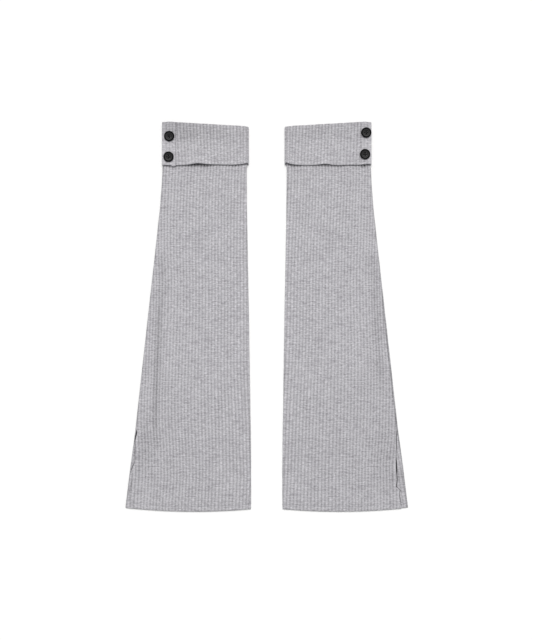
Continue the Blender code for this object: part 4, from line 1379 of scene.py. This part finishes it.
def thread_material(name, colour, twist, sheen):
    """Spun polyester sewing thread: a two-ply twist that shows as slanting lines, with a slight lustre."""
    material, tree, shader = new_material(name)
    places = add_node(tree, "TexCoord", {}, {}).outputs["Object"]
    ply = add_node(
        tree,
        "TexWave",
        {"wave_type": "BANDS", "bands_direction": "DIAGONAL"},
        {"Vector": places, "Scale": 1.0 / (twist * MM) / 3.0, "Distortion": 1.5, "Detail": 1.0},
    ).outputs["Fac"]
    shadow = add_node(tree, "Math", TIMES, (ply, 0.5))
    darker = rgba([c * 0.6 for c in colour])
    tone = add_node(tree, "Mix", BLEND, {0: shadow, 6: rgba(colour), 7: darker})
    surface = add_node(tree, "Bump", {}, {"Strength": 0.5, "Distance": 0.05 * MM, "Height": ply})
    look = {"Base Color": tone.outputs[BLENDED], "Normal": surface, "Roughness": 0.7, "Sheen Weight": sheen}
    set_inputs(tree, shader, look)
    return material


# Millimetres from a button's axis: the spacing of the turned rings, where the dished face passes into the
# rim, and where the painted shade round the thread passes into the face's painted reflection.
RING_SPACING = 0.45
FACE_EDGE = (4.7, 5.5)
THREAD_PAINTED_SHADE = (1.9, 4.5)


def button_material(colour):
    """Black polyester resin. The rim is tumbled to a deep, soft black; the dished face has a satin finish
    from turning, glossier than the rim, with fine rings and grain. The face's grey is a painted reflection,
    patchy with the grain, and round the thread it gives way to painted shade, black again."""
    material, tree, shader = new_material("black_polyester_satin")
    places = add_node(tree, "TexCoord", {}, {}).outputs["Object"]
    from_axis = add_node(tree, "Attribute", {"attribute_name": FROM_AXIS}, {}).outputs["Fac"]
    skin_grain = {"Scale": 1.0 / (0.6 * MM), "Detail": 3.0, "Roughness": 0.65}
    grain = add_node(tree, "TexNoise", {}, {"Vector": places, **skin_grain})
    turns = add_node(tree, "Math", TIMES, (from_axis, math.tau / RING_SPACING))
    rings = add_node(tree, "Math", SINE, (turns,))
    face = add_node(tree, "MapRange", SOFT_RANGE, (from_axis, *FACE_EDGE, 1.0, 0.0))
    clear_of_thread_shade = add_node(tree, "MapRange", SOFT_RANGE, (from_axis, *THREAD_PAINTED_SHADE, 0.04, 1.0))
    # where the face carries a painted reflection, away from the painted shade round the thread
    painted_reflection_mask = add_node(tree, "Math", TIMES, (face, clear_of_thread_shade))
    patchy = add_node(tree, "MapRange", SOFT_RANGE, (grain, 0.3, 0.62, 0.25, 1.0))
    painted_reflection = add_node(tree, "Math", TIMES, (painted_reflection_mask, patchy))
    # the grey of the painted reflection
    reflection_grey = rgba([c * 2.6 + 0.003 for c in colour])
    tone = add_node(tree, "Mix", BLEND, {0: painted_reflection, 6: rgba(colour), 7: reflection_grey})
    rough = add_node(tree, "MapRange", {}, (face, 0.0, 1.0, 0.62, 0.5))
    gloss = add_node(tree, "MapRange", {}, (painted_reflection_mask, 0.0, 1.0, 0.05, 0.24))
    relief = add_node(tree, "Math", PLUS, (add_node(tree, "Math", TIMES, (rings, 0.2)), grain))
    surface = add_node(tree, "Bump", {}, {"Strength": 0.4, "Distance": 0.04 * MM, "Height": relief})
    polish = {"Roughness": rough, "Specular IOR Level": gloss, "IOR": 1.54}
    set_inputs(tree, shader, {"Base Color": tone.outputs[BLENDED], "Normal": surface, **polish})
    return material


def floor_material(colour):
    """Seamless background paper: matt white, with a faint fibre mottle."""
    material, tree, shader = new_material("seamless_white_paper")
    places = add_node(tree, "TexCoord", {}, {}).outputs["Object"]
    fibres = {"Scale": 1.0 / (3.0 * MM), "Detail": 3.0, "Roughness": 0.6}
    mottle = add_node(tree, "TexNoise", {}, {"Vector": places, **fibres})
    darker = rgba([c * 0.985 for c in colour])
    tone = add_node(tree, "Mix", BLEND, {0: mottle, 6: rgba(colour), 7: darker})
    matt = {"Roughness": 0.9, "Specular IOR Level": 0.2}
    set_inputs(tree, shader, {"Base Color": tone.outputs[BLENDED], **matt})
    return material


# ---------------------------------------------------------------- operators
def settings_of(context):
    """(sizes in millimetres, colours)."""
    return in_millimetres(context.scene.knit_sizes), context.scene.knit_colours


def material_once(name, make):
    """The material of this name, made the first time it is asked for."""
    return bpy.data.materials.get(name) or make()


def rib_knit(colours):
    name = "heather_grey_rib_knit"
    return material_once(name, lambda: knit_material(name, colours, RIB_SHADE))


def jersey(colours):
    name = "heather_grey_jersey"
    return material_once(name, lambda: knit_material(name, colours, JERSEY_SHADE))


def sewing_thread(colours):
    name = "grey_polyester_thread"
    return material_once(name, lambda: thread_material(name, colours.thread, 0.7, 0.2))


def finish_piece(piece, material, slot, *nodes):
    """Gives a piece its material, seats it on the construction model and hides the nodes it stands for."""
    piece.data.materials.clear()
    piece.data.materials.append(material)
    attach(piece, "root")
    if nodes:
        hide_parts(*nodes)
    return piece


def stitch_row(name, form, spots):
    """A row of stitches along a line of spots on the cloth, each one between two needle holes."""
    mesh = bmesh.new()
    side, sizes = form.side, form.sizes
    points = [place(side, spot.middle + spot.facing * spot.outer, sizes.length) for spot in spots]
    origin = Vector((0.0, sizes.length / 2, 0.0))
    ways = [place(side, origin + spot.facing, sizes.length).normalized() for spot in spots]
    bead = sizes.stitch_pitch * STITCH_SHARE
    travelled = 0.0
    due = sizes.stitch_pitch / 2
    for here, there, up in zip(points, points[1:], ways):
        step = (there - here).length / MM
        while step > 0.0 and travelled + step >= due:
            middle = here.lerp(there, (due - travelled) / step)
            sunk = middle + up * (STITCH_ABOVE * MM)
            steep = abs((there - here).normalized().z)
            sunk.z = max(sunk.z, (sizes.thread + steep * bead) / 2 * MM)  # none reaches below the floor
            add_bead(mesh, sunk, there - here, up, bead, sizes.thread, sizes.thread)
            due += sizes.stitch_pitch
        travelled += step
    return add_object(name, mesh)


class LEGWARMER_OT_legs(bpy.types.Operator):
    """Knit the two legs, with their hems stitched"""

    bl_idname = "legwarmer.legs"
    bl_label = "Legs"

    def execute(self, context):
        sizes, colours = settings_of(context)
        for side in SIGNS:
            form = LegForm(side, sizes)
            leg = cloth_mesh(f"{side}_leg_knit", form, form.rows(), form.columns(), form.spot)
            finish_piece(leg, rib_knit(colours), "rib_knit", f"{side}_leg")
            hem = sizes.length - sizes.hem_band
            line = [form.spot(hem, column) for column in form.columns()]
            stitches = stitch_row(f"{side}_hem_stitches", form, line)
            finish_piece(stitches, sewing_thread(colours), "rib_knit")
        return {"FINISHED"}


class LEGWARMER_OT_cuffs(bpy.types.Operator):
    """Knit the two turned-down cuffs, with their edges stitched"""

    bl_idname = "legwarmer.cuffs"
    bl_label = "Cuffs"

    def execute(self, context):
        sizes, colours = settings_of(context)
        for side in SIGNS:
            form = CuffForm(side, sizes)
            cuff = cloth_mesh(f"{side}_cuff_knit", form, form.rows(), form.columns(), form.spot)
            finish_piece(cuff, rib_knit(colours), "rib_knit", f"{side}_cuff")
            ring = [column for column in form.columns() if column[0] != "plain"]
            line = [form.spot(("flap", sizes.hem_band), column) for column in ring]
            stitches = stitch_row(f"{side}_cuff_stitches", form, line)
            finish_piece(stitches, sewing_thread(colours), "rib_knit")
        return {"FINISHED"}


class LEGWARMER_OT_plackets(bpy.types.Operator):
    """Sew the smooth strip on the outer side of each cuff"""

    bl_idname = "legwarmer.plackets"
    bl_label = "Plackets"

    def execute(self, context):
        sizes, colours = settings_of(context)
        for side in SIGNS:
            form = CuffForm(side, sizes)
            rows, columns = form.placket_rows(), form.placket_columns()
            placket = cloth_mesh(f"{side}_placket_jersey", form, rows, columns, form.placket_spot)
            finish_piece(placket, jersey(colours), "rib_knit", f"{side}_placket")
        return {"FINISHED"}


class LEGWARMER_OT_buttons(bpy.types.Operator):
    """Turn the four buttons and sew them on"""

    bl_idname = "legwarmer.buttons"
    bl_label = "Buttons"

    def execute(self, context):
        _, colours = settings_of(context)
        plastic = button_material(colours.button)
        thread = thread_material("black_polyester_thread", colours.button_thread, 0.5, 0.1)
        shape = drilled_button()
        for side in SIGNS:
            for level in LEVELS:
                node = f"{side}_button_{level}"
                seat = button_seat(node)
                button = bpy.data.objects.new(f"{node}_turned", shape.copy())
                context.scene.collection.objects.link(button)
                button.data.transform(seat)
                finish_piece(button, plastic, "button_plastic", node)
                sewn = button_thread()
                bmesh.ops.transform(sewn, matrix=seat, verts=sewn.verts)
                finish_piece(add_object(f"{node}_thread", sewn), thread, "button_plastic")
        return {"FINISHED"}


FLOOR_SIZE = 12.0
FLOOR_CLEAR = 0.1  # how far below the pair the floor is
ROOM_COLOUR = "#F7F8FA"
SOFTBOX_COLOUR = "#FFFEFC"
LENS = 100.0
SENSOR = 36.0
PICTURE = (533, 640)
MIDLINE_X = 266.7  # pixels from the left to the line midway between the pair
FOLD_Y = 121.3  # pixels from the top to the cuffs' fold
PIXEL = 1.28  # millimetres of cloth to a pixel


class LEGWARMER_OT_stage(bpy.types.Operator):
    """Lay the floor, light it softly and set the camera straight above the pair"""

    bl_idname = "legwarmer.stage"
    bl_label = "Stage"

    def execute(self, context):
        settings = context.scene.studio
        self.lay_floor(context)
        self.light(context, settings)
        self.set_camera(context, settings)
        context.scene.view_settings.view_transform = "Standard"
        return {"FINISHED"}

    def lay_floor(self, context):
        mesh = bmesh.new()
        bmesh.ops.create_grid(mesh, x_segments=8, y_segments=8, size=FLOOR_SIZE / 2)
        bmesh.ops.translate(mesh, verts=mesh.verts, vec=(0.0, 0.0, -FLOOR_CLEAR * MM))
        floor = add_object("paper_floor", mesh)
        floor.data.materials.append(floor_material(context.scene.knit_colours.floor))

    def light(self, context, settings):
        world = context.scene.world or bpy.data.worlds.new("studio")
        context.scene.world = world
        world.use_nodes = True
        room = world.node_tree.nodes["Background"]
        room.inputs["Color"].default_value = rgba(linear(ROOM_COLOUR))
        room.inputs["Strength"].default_value = settings.room_light
        lamp = bpy.data.lights.new("softbox", "SUN")
        lamp.energy = settings.softbox_power
        lamp.angle = settings.softbox_width
        lamp.color = linear(SOFTBOX_COLOUR)
        softbox = bpy.data.objects.new("softbox", lamp)
        context.scene.collection.objects.link(softbox)
        softbox.location = (0.0, 1.0, 2.0)
        softbox.rotation_euler = (-settings.softbox_tilt, 0.0, 0.0)

    def set_camera(self, context, settings):
        sizes = in_millimetres(context.scene.knit_sizes)
        data = bpy.data.cameras.new("overhead")
        data.lens = LENS
        data.sensor_width = SENSOR
        camera = bpy.data.objects.new("overhead", data)
        context.scene.collection.objects.link(camera)
        across = (PICTURE[0] / 2 - MIDLINE_X) * PIXEL
        along = sizes.length / 2 - (PICTURE[1] / 2 - FOLD_Y) * PIXEL
        camera.location = (across * MM, along * MM, settings.camera_height)
        camera.rotation_euler = (0.0, 0.0, 0.0)
        context.scene.camera = camera


class VIEW3D_PT_leg_warmers(bpy.types.Panel):
    """The sizes, the colours and a button for each group of pieces"""

    bl_label = "Leg warmers"
    bl_idname = "VIEW3D_PT_leg_warmers"
    bl_space_type = "VIEW_3D"
    bl_region_type = "UI"
    bl_category = "Leg warmers"

    def draw(self, context):
        for operator in OPERATORS:
            self.layout.operator(operator.bl_idname)
        for group in (context.scene.knit_sizes, context.scene.knit_colours, context.scene.studio):
            box = self.layout.box()
            for name in group.__annotations__:
                box.prop(group, name)


OPERATORS = (
    LEGWARMER_OT_legs,
    LEGWARMER_OT_cuffs,
    LEGWARMER_OT_plackets,
    LEGWARMER_OT_buttons,
    LEGWARMER_OT_stage,
)
CLASSES = (KnitSizes, KnitColours, StageSettings, *OPERATORS, VIEW3D_PT_leg_warmers)


def register():
    for made in CLASSES:
        bpy.utils.register_class(made)
    bpy.types.Scene.knit_sizes = PointerProperty(type=KnitSizes)
    bpy.types.Scene.knit_colours = PointerProperty(type=KnitColours)
    bpy.types.Scene.studio = PointerProperty(type=StageSettings)


def unregister():
    del bpy.types.Scene.studio
    del bpy.types.Scene.knit_colours
    del bpy.types.Scene.knit_sizes
    for made in reversed(CLASSES):
        bpy.utils.unregister_class(made)


def main():
    register()
    bpy.ops.legwarmer.legs()
    bpy.ops.legwarmer.cuffs()
    bpy.ops.legwarmer.plackets()
    bpy.ops.legwarmer.buttons()
    bpy.ops.legwarmer.stage()


if __name__ == "__main__":
    main()
